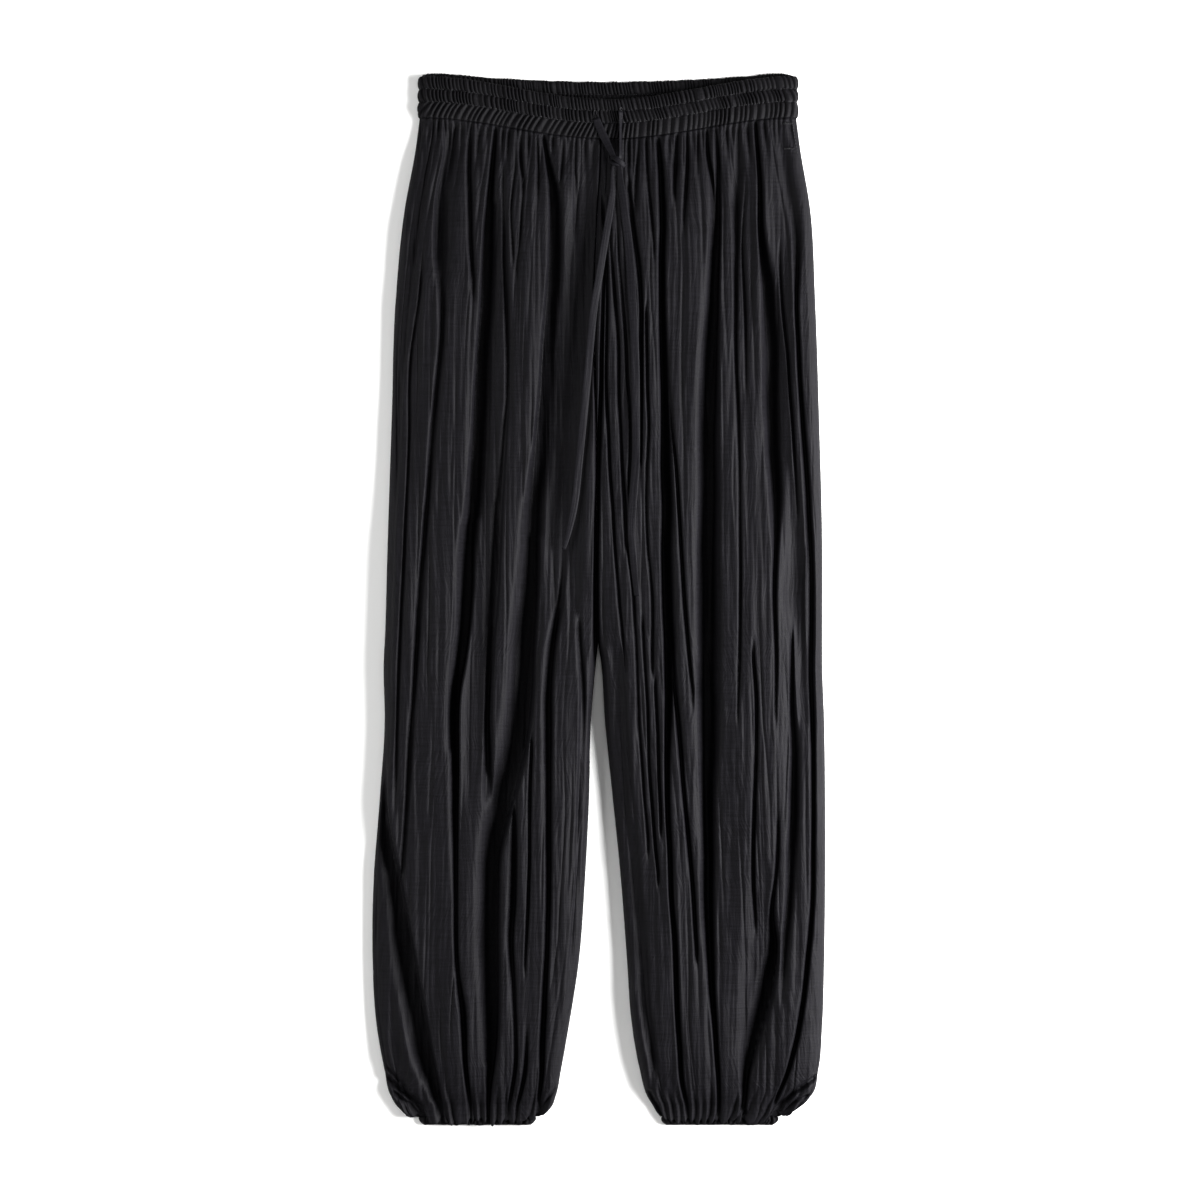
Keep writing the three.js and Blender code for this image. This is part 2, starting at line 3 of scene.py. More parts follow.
import bpy
import numpy as np
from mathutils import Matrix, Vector


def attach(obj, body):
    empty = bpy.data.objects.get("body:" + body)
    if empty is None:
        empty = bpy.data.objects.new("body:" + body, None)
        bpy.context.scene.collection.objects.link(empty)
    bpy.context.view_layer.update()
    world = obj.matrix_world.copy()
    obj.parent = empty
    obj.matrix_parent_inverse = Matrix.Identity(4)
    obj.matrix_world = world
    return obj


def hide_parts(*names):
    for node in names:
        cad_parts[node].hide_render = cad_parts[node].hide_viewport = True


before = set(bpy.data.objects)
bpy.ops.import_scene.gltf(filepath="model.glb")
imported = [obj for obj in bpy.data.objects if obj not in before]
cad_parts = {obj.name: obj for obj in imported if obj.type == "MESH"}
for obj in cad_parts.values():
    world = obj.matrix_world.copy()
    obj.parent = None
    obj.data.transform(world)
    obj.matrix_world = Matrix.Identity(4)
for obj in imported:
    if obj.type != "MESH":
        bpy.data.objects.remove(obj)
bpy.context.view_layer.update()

# Balloon trousers laid flat, seen from straight above.
# Sizes are in millimetres, measured from the middle of the photograph, and become metres in the row's frame.
MM = 0.001
FRAME_SHIFT = (1.0, -0.69)  # from the photograph's middle to the middle of the garment's underside

# Cloth
LEG_CLOTH = 0.8
SEAM = 0.3
LOWEST_FRONT = 3.4  # top of a front valley that lies on the back panel

# Waistband
WAIST = {"centre": 8.0, "half": 189.0, "cloth": 2.0, "bend": 9.0, "edge": 3.0, "hollow": 8.4}
FRONT_RIM, FRONT_RIM_SAG = 523.0, 23.0
FRONT_SEAM, FRONT_SEAM_SAG = 481.0, 21.0
BACK_RIM, BACK_RIM_RISE, BACK_RIM_CORNER, BACK_RIM_CORNER_POWER = 518.0, 11.0, 7.0, 24
BACK_SEAM, BACK_SEAM_RISE = 477.0, 4.0
# Channels of the waistband, from the rim down: where each ends, as a share of the band's height, its gathers, and
# how far they lean on the wearer's right and left halves
WAIST_CHANNELS = ((0.32, 98, -0.5, -0.8), (0.62, 96, -0.4, -1.0), (1.0, 68, 1.5, 0.2))

# Hem casings
CUFF_CENTRE = {"right": -122.5, "left": 119.5}
CUFF = {"half": 58.0, "cloth": 1.5, "bend": 4.0, "edge": 2.6, "hollow": 3.5}
CUFF_TOP, CUFF_BOTTOM = -516.0, -525.0
CUFF_CHANNELS = ((1.0, 23, 0.4, -0.4),)

# Relief of each half of the bands in millimetres: fullness, height of the gathers, how far the stitched rows and the
# lower corners draw in at the sides, and relief of the other face
WAIST_RELIEF = {"front": (0.4, 2.9, 2.4, 0.0, 0.0), "back": (0.3, 2.3, 0.8, 0.0, 0.6)}
CUFF_RELIEF = {"front": (0.3, 2.4, 0.0, 5.0, 0.0), "back": (0.4, 1.5, 0.0, 5.0, 0.6)}

# Outline of the legs: outer edges, and inner edges, which above the crotch are one centre seam
CROTCH_BLEND = (-34.0, -66.0)
OUTLINE = {
    "y": (480, 450, 390, 300, 180, 60, -42, -62, -120, -200, -280, -360, -425, -470, -495, -507, -512, -516),
    "right_outer": (-180, -184, -195, -204, -208, -212, -215, -216, -215, -220, -226, -227, -223, -215,
                    -209, -201, -194, -184),
    "right_inner": (1, 0, -3, -6, -4, -3, -2, -4, -9, -11, -15, -21, -31, -39, -44, -49, -54, -61),
    "left_inner": (1, 0, -3, -6, -4, -3, -2, 1, 5, 13, 21, 27, 32, 40, 47, 54, 57, 60),
    "left_outer": (196, 200, 210, 215, 219, 222, 222, 222, 224, 225, 225, 224, 222, 218, 211, 198, 186, 179),
}

# How high the ridges stand, and the height of the side seams and inseams
HEIGHTS = {
    "y": (480, 458, 430, 390, 330, 160, -360, -425, -470, -495, -507, -512, -516),
    "crown": (11.6, 13.6, 16.5, 19, 22, 24, 25, 24, 21, 16, 11.4, 9, 7),
    "edge": (4.2, 4.2, 4.2, 4.2, 4.2, 4.2, 4.2, 4.2, 4.0, 3.6, 3.1, 2.8, 2.6),
}

# Lengthwise folds of both fronts, measured on the photograph. Each row of a fold gives the height Y, the valley's X,
# its depth as a share of the ridge, and how far it reaches towards negative and positive X.
# A short reach is the sharp edge of a fold that lies over, and a long one is its soft rise.
FOLDS = (
    # wearer's right leg, from the side seam in
    ((-175, -214, 0.4, 5, 1.5), (-210, -213, 0.8, 6, 1.5), (-240, -208, 1, 9, 1.5), (-280, -199, 1, 13, 1.6),
     (-330, -190, 1, 16, 1.6), (-380, -181, 1, 17, 1.6), (-420, -173, 1, 17, 1.8), (-450, -168, 1, 15, 1.8),
     (-480, -162, 0.95, 10, 1.8), (-500, -159, 0.85, 6, 1.8), (-513, -157, 0.7, 3, 2)),
    ((478, -155, 0.3, 1.5, 5), (450, -154, 0.5, 1.5, 8), (400, -162, 0.55, 1.6, 10), (350, -163, 0.5, 2.5, 10),
     (310, -158, 0.35, 4, 5), (270, -157, 0.3, 3, 3), (200, -164, 0.3, 2, 4), (100, -172, 0.28, 2, 4),
     (0, -179, 0.3, 3, 3), (-100, -185, 0.28, 3, 2), (-200, -191, 0.28, 3, 2), (-270, -196, 0.25, 3, 2)),
    ((330, -176, 0.1, 1.5, 1.5), (290, -181, 0.2, 1.6, 1.6), (250, -187, 0.22, 1.6, 1.6), (150, -190, 0.22, 1.6, 1.6),
     (50, -194, 0.22, 1.8, 1.8), (-50, -199, 0.22, 1.8, 1.8), (-150, -202, 0.2, 1.8, 1.8), (-200, -204, 0.1, 2, 2)),
    ((465, -167, 0.15, 6, 2), (400, -176, 0.2, 9, 2), (350, -184, 0.2, 8, 2), (300, -190, 0.15, 6, 2),
     (200, -198, 0.12, 5, 2), (100, -204, 0.12, 5, 2), (0, -208, 0.12, 5, 2), (-80, -210, 0.1, 4, 2)),
    ((478, -128, 0.3, 1.6, 2), (450, -130, 0.5, 2.2, 3), (400, -130, 0.5, 2.2, 3), (350, -129, 0.42, 2.2, 3),
     (315, -126, 0.2, 2, 2)),
    ((478, -104, 0.75, 2, 2), (450, -106, 0.9, 2.5, 3), (425, -109, 0.95, 1.6, 4), (400, -112, 1, 1.5, 6),
     (350, -116, 1, 1.5, 9), (300, -118, 1, 1.5, 9), (250, -121, 1, 1.5, 9), (200, -124, 1, 1.8, 10),
     (150, -126, 1, 2.5, 9), (100, -128, 1, 4, 7), (50, -129, 1, 8, 4), (0, -129, 1, 10, 2.5), (-50, -134, 1, 9, 1.8),
     (-100, -141, 0.95, 7, 1.6), (-150, -142, 0.9, 6, 1.6), (-200, -142, 0.7, 5, 1.5), (-250, -142, 0.5, 4, 1.5),
     (-300, -143, 0.35, 2.5, 2), (-350, -143, 0.35, 2, 2.5), (-380, -141, 0.4, 2, 3), (-405, -138, 0.6, 2, 4),
     (-430, -136, 0.8, 2, 3), (-460, -134, 0.85, 2, 2), (-490, -131, 0.75, 2, 2), (-513, -129, 0.55, 2, 2)),
    ((430, -97, 0.12, 2, 2), (350, -94, 0.28, 2.5, 2), (300, -93, 0.35, 2.5, 2.5), (250, -92, 0.3, 2.5, 2.5),
     (200, -92, 0.2, 2.5, 2), (160, -95, 0.22, 4, 2), (100, -98, 0.38, 6, 2), (50, -100, 0.45, 7, 1.8),
     (0, -103, 0.5, 7, 1.8), (-50, -107, 0.5, 5, 2), (-100, -111, 0.55, 3, 3), (-150, -112, 0.6, 3, 5),
     (-190, -112, 0.5, 5, 7)),
    ((440, -84, 0.15, 1.5, 1.5), (400, -88, 0.2, 1.5, 1.5), (350, -87, 0.18, 1.5, 1.5)),
    ((410, -77, 0.12, 1.5, 1.5), (370, -79, 0.2, 1.5, 1.5), (330, -82, 0.12, 1.5, 1.5)),
    ((476, -79, 0.3, 1.6, 1.6), (450, -79, 0.45, 1.8, 2), (425, -77, 0.3, 1.6, 2)),
    ((476, -63, 0.3, 1.5, 1.5), (450, -62, 0.3, 1.5, 1.5), (425, -62, 0.15, 1.5, 1.5)),
    ((478, -56, 0.8, 1.4, 2.2), (450, -53, 0.92, 1.5, 4), (425, -50, 0.97, 1.5, 6), (400, -49, 1, 1.5, 8),
     (350, -50, 1, 1.5, 9), (300, -53, 1, 1.5, 9), (250, -57, 1, 1.5, 9), (200, -60, 1, 1.5, 10),
     (150, -64, 1, 2, 11), (100, -66, 1, 6, 8), (50, -65, 1, 10, 5), (0, -65, 1, 14, 3), (-50, -67, 1, 16, 3),
     (-100, -70, 1, 17, 3), (-150, -76, 1, 18, 3), (-200, -89, 1, 17, 3.5), (-250, -101, 1, 13, 3),
     (-300, -103, 1, 13, 3), (-350, -103, 1, 13, 3), (-400, -103, 1, 11, 3), (-450, -105, 1, 7, 3),
     (-490, -110, 0.95, 2.5, 2.5), (-513, -111, 0.7, 2, 2)),
    ((-190, -84, 0.3, 3, 1.6), (-250, -84, 0.5, 5, 1.5), (-300, -85, 0.5, 5, 1.6), (-340, -87, 0.42, 5, 1.6),
     (-380, -86, 0.3, 3, 2), (-430, -84, 0.3, 2, 2), (-460, -84, 0.4, 2, 2), (-490, -88, 0.55, 2, 2),
     (-510, -92, 0.4, 2, 2)),
    ((-150, -68, 0.25, 1.5, 1.5), (-200, -70, 0.35, 1.6, 1.6), (-300, -71, 0.35, 1.6, 1.6),
     (-360, -74, 0.2, 1.6, 1.6)),
    ((-440, -73, 0.2, 2, 2), (-470, -75, 0.55, 2, 2), (-495, -80, 0.6, 2, 2), (-511, -84, 0.4, 2, 2)),
    ((80, -35, 0.12, 3, 3), (0, -39, 0.35, 3, 3), (-50, -47, 0.45, 6, 3), (-100, -50, 0.5, 6, 3),
     (-150, -50, 0.5, 5, 2.5), (-200, -50, 0.45, 4, 2.2), (-300, -51, 0.45, 3, 2.2), (-350, -52, 0.45, 3, 2.2),
     (-400, -55, 0.6, 3, 2.4), (-440, -57, 0.75, 3, 2.4), (-475, -58, 0.85, 2.5, 2), (-505, -62, 0.6, 2, 2)),
    ((-30, -21, 0.2, 2, 3), (-100, -18, 0.35, 2, 4), (-150, -19, 0.32, 2, 5), (-200, -21, 0.25, 2, 5),
     (-300, -24, 0.18, 2, 5), (-400, -33, 0.12, 2, 5)),
    ((478, -24, 0.3, 1.6, 1.6), (440, -25, 0.3, 1.8, 1.8), (400, -25, 0.28, 1.6, 4), (350, -24, 0.25, 1.6, 5),
     (250, -26, 0.18, 1.6, 5), (150, -30, 0.15, 2, 5)),
    ((478, -37, 0.35, 1.5, 2), (450, -38, 0.3, 1.6, 2), (425, -40, 0.15, 1.5, 2)),
    ((460, -12, 0.2, 4, 6), (400, -13, 0.36, 8, 9), (300, -15, 0.36, 8, 9), (200, -20, 0.32, 9, 9),
     (100, -28, 0.3, 9, 9), (0, -26, 0.2, 6, 6)),
    # the centre seam
    ((440, 1, 0.2, 2, 2), (380, 4, 0.4, 1.5, 2), (300, 3, 0.6, 1.5, 2), (200, 0, 0.7, 1.5, 2.5),
     (100, -3, 0.85, 1.5, 2.5), (0, -5, 0.95, 1.6, 3), (-48, -4, 0.95, 2, 3)),
    # wearer's left leg, from the centre out
    ((380, 6, 0.2, 1.5, 1.5), (300, 7, 0.45, 1.6, 1.6), (240, 6, 0.45, 1.6, 1.6), (190, 7, 0.45, 1.6, 1.6),
     (150, 9, 0.45, 1.6, 1.6), (100, 12, 0.4, 1.6, 1.6), (50, 15, 0.35, 1.6, 1.6), (0, 19, 0.35, 1.6, 1.6),
     (-60, 25, 0.3, 1.6, 1.6)),
    ((360, 10, 0.2, 1.5, 1.5), (310, 14, 0.45, 1.6, 1.6), (260, 18, 0.45, 1.6, 1.6), (200, 19, 0.42, 1.6, 1.6),
     (150, 21, 0.42, 1.6, 1.6), (100, 24, 0.45, 2, 2), (60, 26, 0.3, 2, 2)),
    ((400, 16, 0.2, 1.5, 1.5), (330, 20, 0.3, 1.5, 1.5), (280, 24, 0.42, 1.6, 1.6), (230, 27, 0.35, 1.6, 1.6),
     (180, 31, 0.3, 2, 2), (120, 30, 0.3, 2, 2)),
    ((420, 28, 0.45, 1.6, 2), (390, 31, 0.6, 2, 3), (340, 37, 0.6, 2, 3), (300, 41, 0.6, 2, 2),
     (250, 41, 0.6, 1.8, 1.8), (200, 41, 0.5, 1.8, 1.8), (150, 40, 0.4, 1.6, 1.6)),
    ((280, 46, 0.3, 1.5, 1.5), (220, 47, 0.45, 1.5, 1.5), (170, 48, 0.35, 1.5, 1.5), (120, 46, 0.25, 1.5, 1.5),
     (60, 47, 0.25, 1.5, 1.5), (0, 52, 0.25, 1.6, 1.6), (-60, 52, 0.25, 1.6, 1.6)),
    ((476, 38, 0.45, 1.6, 1.6), (440, 36, 0.5, 1.6, 2.2), (410, 35, 0.35, 1.6, 2.2)),
    ((470, 47, 0.35, 1.5, 1.5), (430, 48, 0.35, 1.5, 2), (390, 51, 0.35, 1.5, 2), (355, 54, 0.2, 1.5, 1.5)),
    ((50, 28, 0.4, 1.6, 1.6), (20, 32, 0.4, 1.6, 1.6), (-30, 35, 0.25, 1.6, 1.6), (-120, 38, 0.25, 1.6, 1.6)),
    ((-30, 43, 0.25, 1.5, 1.5), (-100, 47, 0.3, 1.5, 1.5), (-160, 49, 0.35, 1.5, 1.5), (-220, 53, 0.4, 1.5, 1.5),
     (-270, 58, 0.3, 1.5, 1.5)),
    ((-90, 55, 0.25, 1.5, 1.5), (-150, 58, 0.3, 1.5, 1.5), (-220, 60, 0.3, 1.5, 1.5)),
    ((-120, 39, 0.2, 1.5, 1.5), (-180, 43, 0.35, 1.5, 1.5), (-240, 48, 0.3, 1.5, 1.5)),
    ((-60, 17, 0.25, 8, 7), (-150, 20, 0.32, 9, 7), (-250, 29, 0.34, 9, 7), (-320, 38, 0.36, 9, 6),
     (-390, 44, 0.3, 8, 5), (-460, 54, 0.25, 5, 3)),
    ((478, 58, 0.8, 2, 2), (450, 60, 0.92, 2.5, 3), (400, 61, 1, 2.2, 4), (350, 61, 1, 2, 3.5), (300, 61, 1, 2, 3.5),
     (250, 61, 1, 2, 4.5), (200, 62, 1, 2, 5), (150, 62, 1, 2, 7), (100, 63, 1, 2, 8), (50, 63, 1, 2, 7),
     (0, 64, 1, 2, 8), (-50, 65, 1, 2, 8), (-100, 66, 0.9, 2, 5), (-150, 66, 0.8, 1.8, 3), (-200, 67, 0.7, 1.8, 2.5),
     (-250, 69, 0.7, 1.8, 2.5), (-300, 71, 0.7, 1.8, 2.5), (-350, 74, 0.75, 1.8, 2.5), (-400, 76, 0.8, 1.8, 2.5),
     (-450, 79, 0.8, 1.8, 2.5), (-480, 81, 0.7, 1.8, 2.5), (-510, 88, 0.5, 2, 2)),
    ((210, 69, 0.15, 1.5, 1.5), (150, 74, 0.38, 1.6, 1.6), (80, 79, 0.42, 1.6, 1.6), (0, 84, 0.42, 1.6, 1.6),
     (-50, 88, 0.4, 1.6, 1.6), (-90, 92, 0.2, 1.6, 1.6)),
    ((-40, 71, 0.4, 2.5, 2.5), (-100, 76, 0.5, 2.5, 2.5), (-150, 80, 0.45, 2, 2), (-200, 84, 0.4, 2, 1.6),
     (-250, 89, 0.45, 2, 1.6), (-300, 93, 0.5, 2, 1.6), (-345, 96, 0.3, 2, 1.6)),
    ((476, 77, 0.5, 2, 2), (445, 76, 0.5, 2.5, 2.5), (420, 74, 0.25, 2, 2)),
    ((476, 87, 0.4, 1.6, 1.6), (440, 87, 0.5, 2, 2), (405, 85, 0.35, 2, 2), (380, 84, 0.15, 2, 2)),
    ((474, 98, 0.35, 1.5, 1.5), (440, 97, 0.15, 1.5, 1.5)),
    ((478, 107, 0.5, 1.6, 1.6), (450, 108, 0.62, 2, 2), (420, 112, 0.62, 2.2, 2), (390, 113, 0.5, 2.2, 2),
     (350, 111, 0.4, 2.2, 2), (315, 108, 0.2, 2, 2)),
    ((474, 116, 0.5, 1.6, 1.6), (440, 118, 0.7, 2.5, 2), (410, 119, 0.8, 5, 1.6), (370, 119, 0.95, 7, 1.5),
     (340, 118, 1, 9, 1.5), (300, 117, 1, 11, 1.6), (250, 116, 1, 13, 2), (200, 114, 1, 14, 3.5),
     (150, 112, 1, 13, 5), (100, 112, 1, 13, 5.5), (50, 111, 1, 13, 6), (0, 109, 1, 11, 8), (-50, 107, 1, 9, 10),
     (-100, 106, 1, 7, 11), (-150, 106, 1, 6, 10), (-200, 106, 1, 5.5, 7), (-250, 107, 1, 5, 5.5),
     (-300, 108, 1, 5, 5), (-350, 110, 1, 4, 3.5), (-400, 112, 1, 2.5, 2.5), (-440, 115, 0.9, 2, 2),
     (-475, 118, 0.85, 1.8, 1.8), (-508, 119, 0.55, 1.8, 1.8)),
    ((476, 138, 0.35, 2, 2), (440, 138, 0.45, 4, 4), (400, 137, 0.5, 5, 4), (350, 136, 0.4, 3, 2.5),
     (300, 135, 0.35, 1.8, 1.8), (250, 135, 0.28, 1.6, 1.6), (200, 137, 0.22, 1.6, 1.6), (100, 139, 0.14, 1.6, 1.6),
     (0, 139, 0.22, 1.5, 1.5), (-60, 138, 0.2, 1.5, 1.5), (-110, 137, 0.1, 1.5, 1.5)),
    ((410, 145, 0.15, 1.6, 1.6), (350, 142, 0.28, 1.6, 1.6), (290, 144, 0.25, 1.6, 1.6), (220, 145, 0.12, 1.6, 1.6)),
    ((479, 155, 0.7, 1.6, 1.6), (450, 157, 0.88, 1.6, 2), (400, 159, 0.97, 1.6, 3), (370, 159, 1, 1.6, 4),
     (340, 161, 1, 1.7, 6), (310, 164, 1, 2, 9), (280, 166, 1, 3, 9), (250, 168, 1, 4, 9), (200, 169, 0.97, 5, 8),
     (150, 171, 0.88, 5.5, 7), (110, 174, 0.7, 5, 6), (80, 175, 0.55, 4, 4), (50, 174, 0.42, 2.5, 2.5),
     (0, 173, 0.35, 2, 2), (-50, 175, 0.3, 1.6, 1.6), (-110, 174, 0.15, 1.6, 1.6)),
    ((470, 178, 0.2, 3, 5), (440, 183, 0.4, 5, 6), (400, 190, 0.45, 6, 5), (365, 196, 0.45, 6, 3),
     (330, 197, 0.45, 4, 2), (300, 196, 0.55, 2, 1.8), (250, 197, 0.6, 2, 1.8), (200, 200, 0.6, 2.2, 1.8),
     (150, 204, 0.5, 3, 1.8), (100, 208, 0.42, 4, 1.8), (50, 211, 0.42, 5, 1.8), (0, 212, 0.45, 6, 1.8),
     (-50, 211, 0.5, 5, 2), (-100, 212, 0.48, 4, 1.8), (-150, 212, 0.45, 2, 1.8), (-250, 212, 0.5, 2, 1.8),
     (-300, 211, 0.55, 2, 1.8),
     (-350, 207, 0.68, 2.2, 1.8), (-400, 202, 0.72, 2.2, 1.8), (-440, 195, 0.75, 2.2, 1.8), (-470, 187, 0.75, 2, 1.8),
     (-495, 177, 0.6, 2, 1.8), (-511, 171, 0.4, 2, 1.8)),
    ((340, 179, 0.2, 1.5, 1.5), (290, 182, 0.38, 1.6, 1.6), (240, 187, 0.38, 1.6, 1.6), (200, 190, 0.38, 1.6, 1.6),
     (150, 193, 0.32, 1.6, 1.6), (90, 197, 0.25, 1.6, 1.6)),
    ((120, 192, 0.15, 5, 5), (50, 196, 0.3, 10, 7), (0, 196, 0.34, 11, 8), (-50, 200, 0.32, 8, 6),
     (-110, 203, 0.2, 6, 5)),
    ((-40, 191, 0.3, 2, 2), (-100, 191, 0.38, 2.5, 3), (-150, 193, 0.46, 3, 4.5), (-200, 192, 0.5, 3.5, 5),
     (-250, 190, 0.46, 3.5, 5), (-300, 187, 0.4, 3, 5), (-345, 184, 0.28, 3, 4), (-390, 181, 0.12, 3, 3)),
    ((-60, 152, 0.3, 1.4, 1.4), (-100, 155, 0.36, 1.6, 1.6), (-150, 155, 0.25, 1.5, 1.5), (-200, 153, 0.36, 1.5, 1.5),
     (-240, 152, 0.5, 1.6, 1.6), (-280, 152, 0.5, 1.6, 1.6), (-315, 154, 0.25, 1.6, 1.6)),
    ((-230, 177, 0.15, 1.6, 1.6), (-280, 174, 0.3, 1.6, 1.6), (-310, 172, 0.5, 3, 1.8), (-345, 176, 0.85, 8, 1.6),
     (-380, 173, 0.95, 12, 1.6), (-400, 169, 1, 13, 1.8), (-425, 161, 1, 12, 1.8), (-450, 153, 1, 9, 1.8),
     (-475, 147, 1, 5, 1.8), (-500, 144, 0.85, 3, 2), (-513, 143, 0.6, 2, 2)),
)

# Broad parts that lie lower than the rest: height Y, middle X, half width and depth as a share of the ridge
LOW_PARTS = (
    # beside the centre seam, right leg
    ((440, -14, 9, 0.2), (390, -18, 15, 0.5), (330, -24, 18, 0.6), (250, -32, 19, 0.64), (150, -39, 19, 0.6),
     (70, -43, 16, 0.45), (10, -50, 14, 0.2)),
    # at its side seam, above the hem
    ((-220, -222, 8, 0.15), (-280, -221, 10, 0.3), (-350, -218, 12, 0.4), (-420, -212, 14, 0.4),
     (-470, -202, 12, 0.25)),
    # beside its first long fold
    ((390, -104, 10, 0.15), (300, -108, 12, 0.2), (200, -111, 14, 0.24), (100, -114, 15, 0.26), (0, -117, 14, 0.24),
     (-100, -126, 13, 0.24), (-180, -128, 12, 0.2)),
    # left leg, towards its side seam and above the hem
    ((430, 176, 8, 0.15), (370, 178, 12, 0.3), (300, 176, 12, 0.35), (220, 178, 11, 0.35), (140, 180, 9, 0.25),
     (70, 182, 8, 0.1)),
    ((430, 130, 20, 0.2), (370, 132, 20, 0.25), (300, 130, 18, 0.2)),
    ((-290, 160, 12, 0.15), (-350, 158, 15, 0.32), (-400, 154, 16, 0.38), (-440, 148, 14, 0.38), (-480, 144, 9, 0.2)),
)

# How the folds run: length over which one fades out, and the height above which one starts in the waist seam
FOLD_FADE, LOW_PART_FADE, SEAM_START = 22, 40, 465
# The fine folds gathered beside the centre seam are shallow: middle and half width in X, and how much shallower
BUNDLE_MIDDLE, BUNDLE_HALF, BUNDLE_SHALLOWER, FINE_REACH = 28, 26, 0.4, 3.2
# The right leg's broad folds lie wider open
BROAD_REACH, BROADER = 6, 1.25

# Short gathers that leave the waist seam or a hem casing: X there, how far they reach, and depth in millimetres
PLEAT_REACH, WAIST_PLEAT_SHARE, HEM_PLEAT_SHARE, CORNER_SHARE = 2.3, 1.8, 1.7, 1.5
WAIST_PLEATS = (
    (-176, 50, 1.8), (-169, 34, 1.4), (-160, 40, 1.8), (-143, 70, 2.4), (-136, 40, 1.6), (-119, 60, 2.2),
    (-112, 36, 1.6), (-96, 50, 2.0), (-90, 60, 1.8), (-70, 40, 1.8), (-47, 40, 1.8), (-30, 40, 1.6), (-15, 50, 1.8),
    (-6, 44, 1.8), (4, 50, 1.6), (12, 40, 1.6), (28, 60, 1.8), (68, 40, 1.8), (93, 50, 1.6), (102, 40, 1.6),
    (125, 50, 2.0), (131, 36, 1.6), (146, 60, 2.2), (163, 50, 1.8), (171, 40, 1.6), (189, 44, 1.6),
)
HEM_PLEATS = (
    (-177, 40, 2.2), (-171, 56, 2.6), (-165, 36, 2.0), (-151, 60, 2.6), (-146, 40, 2.2), (-140, 46, 2.2),
    (-123, 44, 2.8), (-118, 30, 2.0), (-104, 40, 2.2), (-98, 56, 2.4), (-77, 46, 2.2), (-71, 40, 2.0), (-67, 30, 1.8),
    (64, 34, 1.8), (70, 50, 2.0), (76, 36, 2.0), (82, 40, 2.0), (94, 44, 2.4), (100, 36, 2.0), (106, 56, 2.4),
    (112, 36, 2.0), (125, 44, 2.4), (131, 60, 2.6), (137, 36, 2.0), (151, 44, 2.2), (158, 60, 2.4), (164, 36, 2.0),
    (169, 44, 2.2), (175, 36, 2.0),
)

# Folds that round the lower corners of the legs: points of each, depth in millimetres and reach
CORNER_FOLDS = (
    (((-211, -478), (-200, -487), (-188, -497), (-178, -508), (-173, -516)), 5.0, 3.2),
    (((-204, -492), (-194, -500), (-184, -508), (-178, -516)), 3.5, 2.4),
    (((-216, -462), (-206, -474), (-195, -486)), 2.5, 2.6),
    (((217, -474), (205, -482), (193, -490), (182, -501), (174, -512)), 6.0, 2.8),
    (((206, -494), (194, -500), (184, -507), (176, -515)), 3.0, 2.2),
    (((-46, -488), (-54, -500), (-62, -511)), 2.5, 2.4),
    (((49, -490), (55, -502), (62, -512)), 2.5, 2.4),
)

# Drawstring: its thickness, the knot's middle, and the routes of its stretches from the buttonholes and of its tails
TIE_THICK = 1.2
KNOT_PLACE = (17.5, 436.0, 17.8)
UPPER_RIGHT_ROUTE = ((-4, 480, 12.7), (0, 470, 12.8), (6, 457, 13.7), (11, 446.5, 15.8), (13.9, 440.6, 17.2))
UPPER_LEFT_ROUTE = ((21, 487, 13.2), (20.7, 476, 13.3), (20.5, 465, 13.5), (20.3, 453, 15), (20.2, 440.9, 17.4))
TAIL_RIGHT_ROUTE = (
    (13.8, 430.8, 16.9), (13.2, 416, 17.2), (12, 402, 18.1), (8, 375, 20), (3, 345, 21.5), (-1, 320, 21.6),
    (-6, 290, 21.5), (-10, 250, 22), (-14, 206, 22.8), (-18, 165, 23.1), (-21, 135, 23), (-24, 104, 23.3),
    (-29, 76, 23.4), (-36, 50, 23.4),
)
TAIL_LEFT_ROUTE = (
    (19.4, 430.8, 19.2), (20.5, 415, 19.1), (23, 398, 19), (28, 358, 20.5), (30, 332, 22.4), (31.4, 307, 23.6),
    (33.5, 272, 24.1), (34.8, 240, 24.5), (35.5, 190, 25), (35.5, 142, 25.2), (33, 104, 25.3), (31.4, 70, 25.4),
    (33.5, 36, 25.5), (36.5, 4, 25.5),
)

# Sewing on the front: middles of the buttonholes, and at the wearer's left side a slanted row of topstitching, whose
# X moves on as Y falls, with the ends of two bar tacks
BUTTONHOLES = {"right": (-5, 482), "left": (20.8, 485)}
SIDE_ROW = {"x": 191.5, "top": 476, "end": 440, "slant": 0.17}
SIDE_TACKS = {"upper": (183, 475, 191, 475), "lower": (184, 450, 193, 450)}


def in_frame(points):
    """Points in the photograph's millimetres as metres in the row's frame."""
    moved = np.array(points, dtype=float)
    moved[..., 0] += FRAME_SHIFT[0]
    moved[..., 1] += FRAME_SHIFT[1]
    return moved * MM


def eased(share):
    share = np.clip(share, 0.0, 1.0)
    return share * share * (3.0 - 2.0 * share)


def along(heights, values, y):
    """A smooth curve through a table's values at falling heights."""
    ys = np.array(heights, dtype=float)[::-1]
    vs = np.array(values, dtype=float)[::-1]
    slopes = np.gradient(vs, ys)
    y = np.clip(y, ys[0], ys[-1])
    left = np.clip(np.searchsorted(ys, y) - 1, 0, len(ys) - 2)
    step = ys[left + 1] - ys[left]
    t = (y - ys[left]) / step
    rise = vs[left + 1] - vs[left]
    from_left = slopes[left] * step
    from_right = slopes[left + 1] * step
    return (vs[left] + t * from_left + t**2 * (3 * rise - 2 * from_left - from_right)
            + t**3 * (from_left + from_right - 2 * rise))


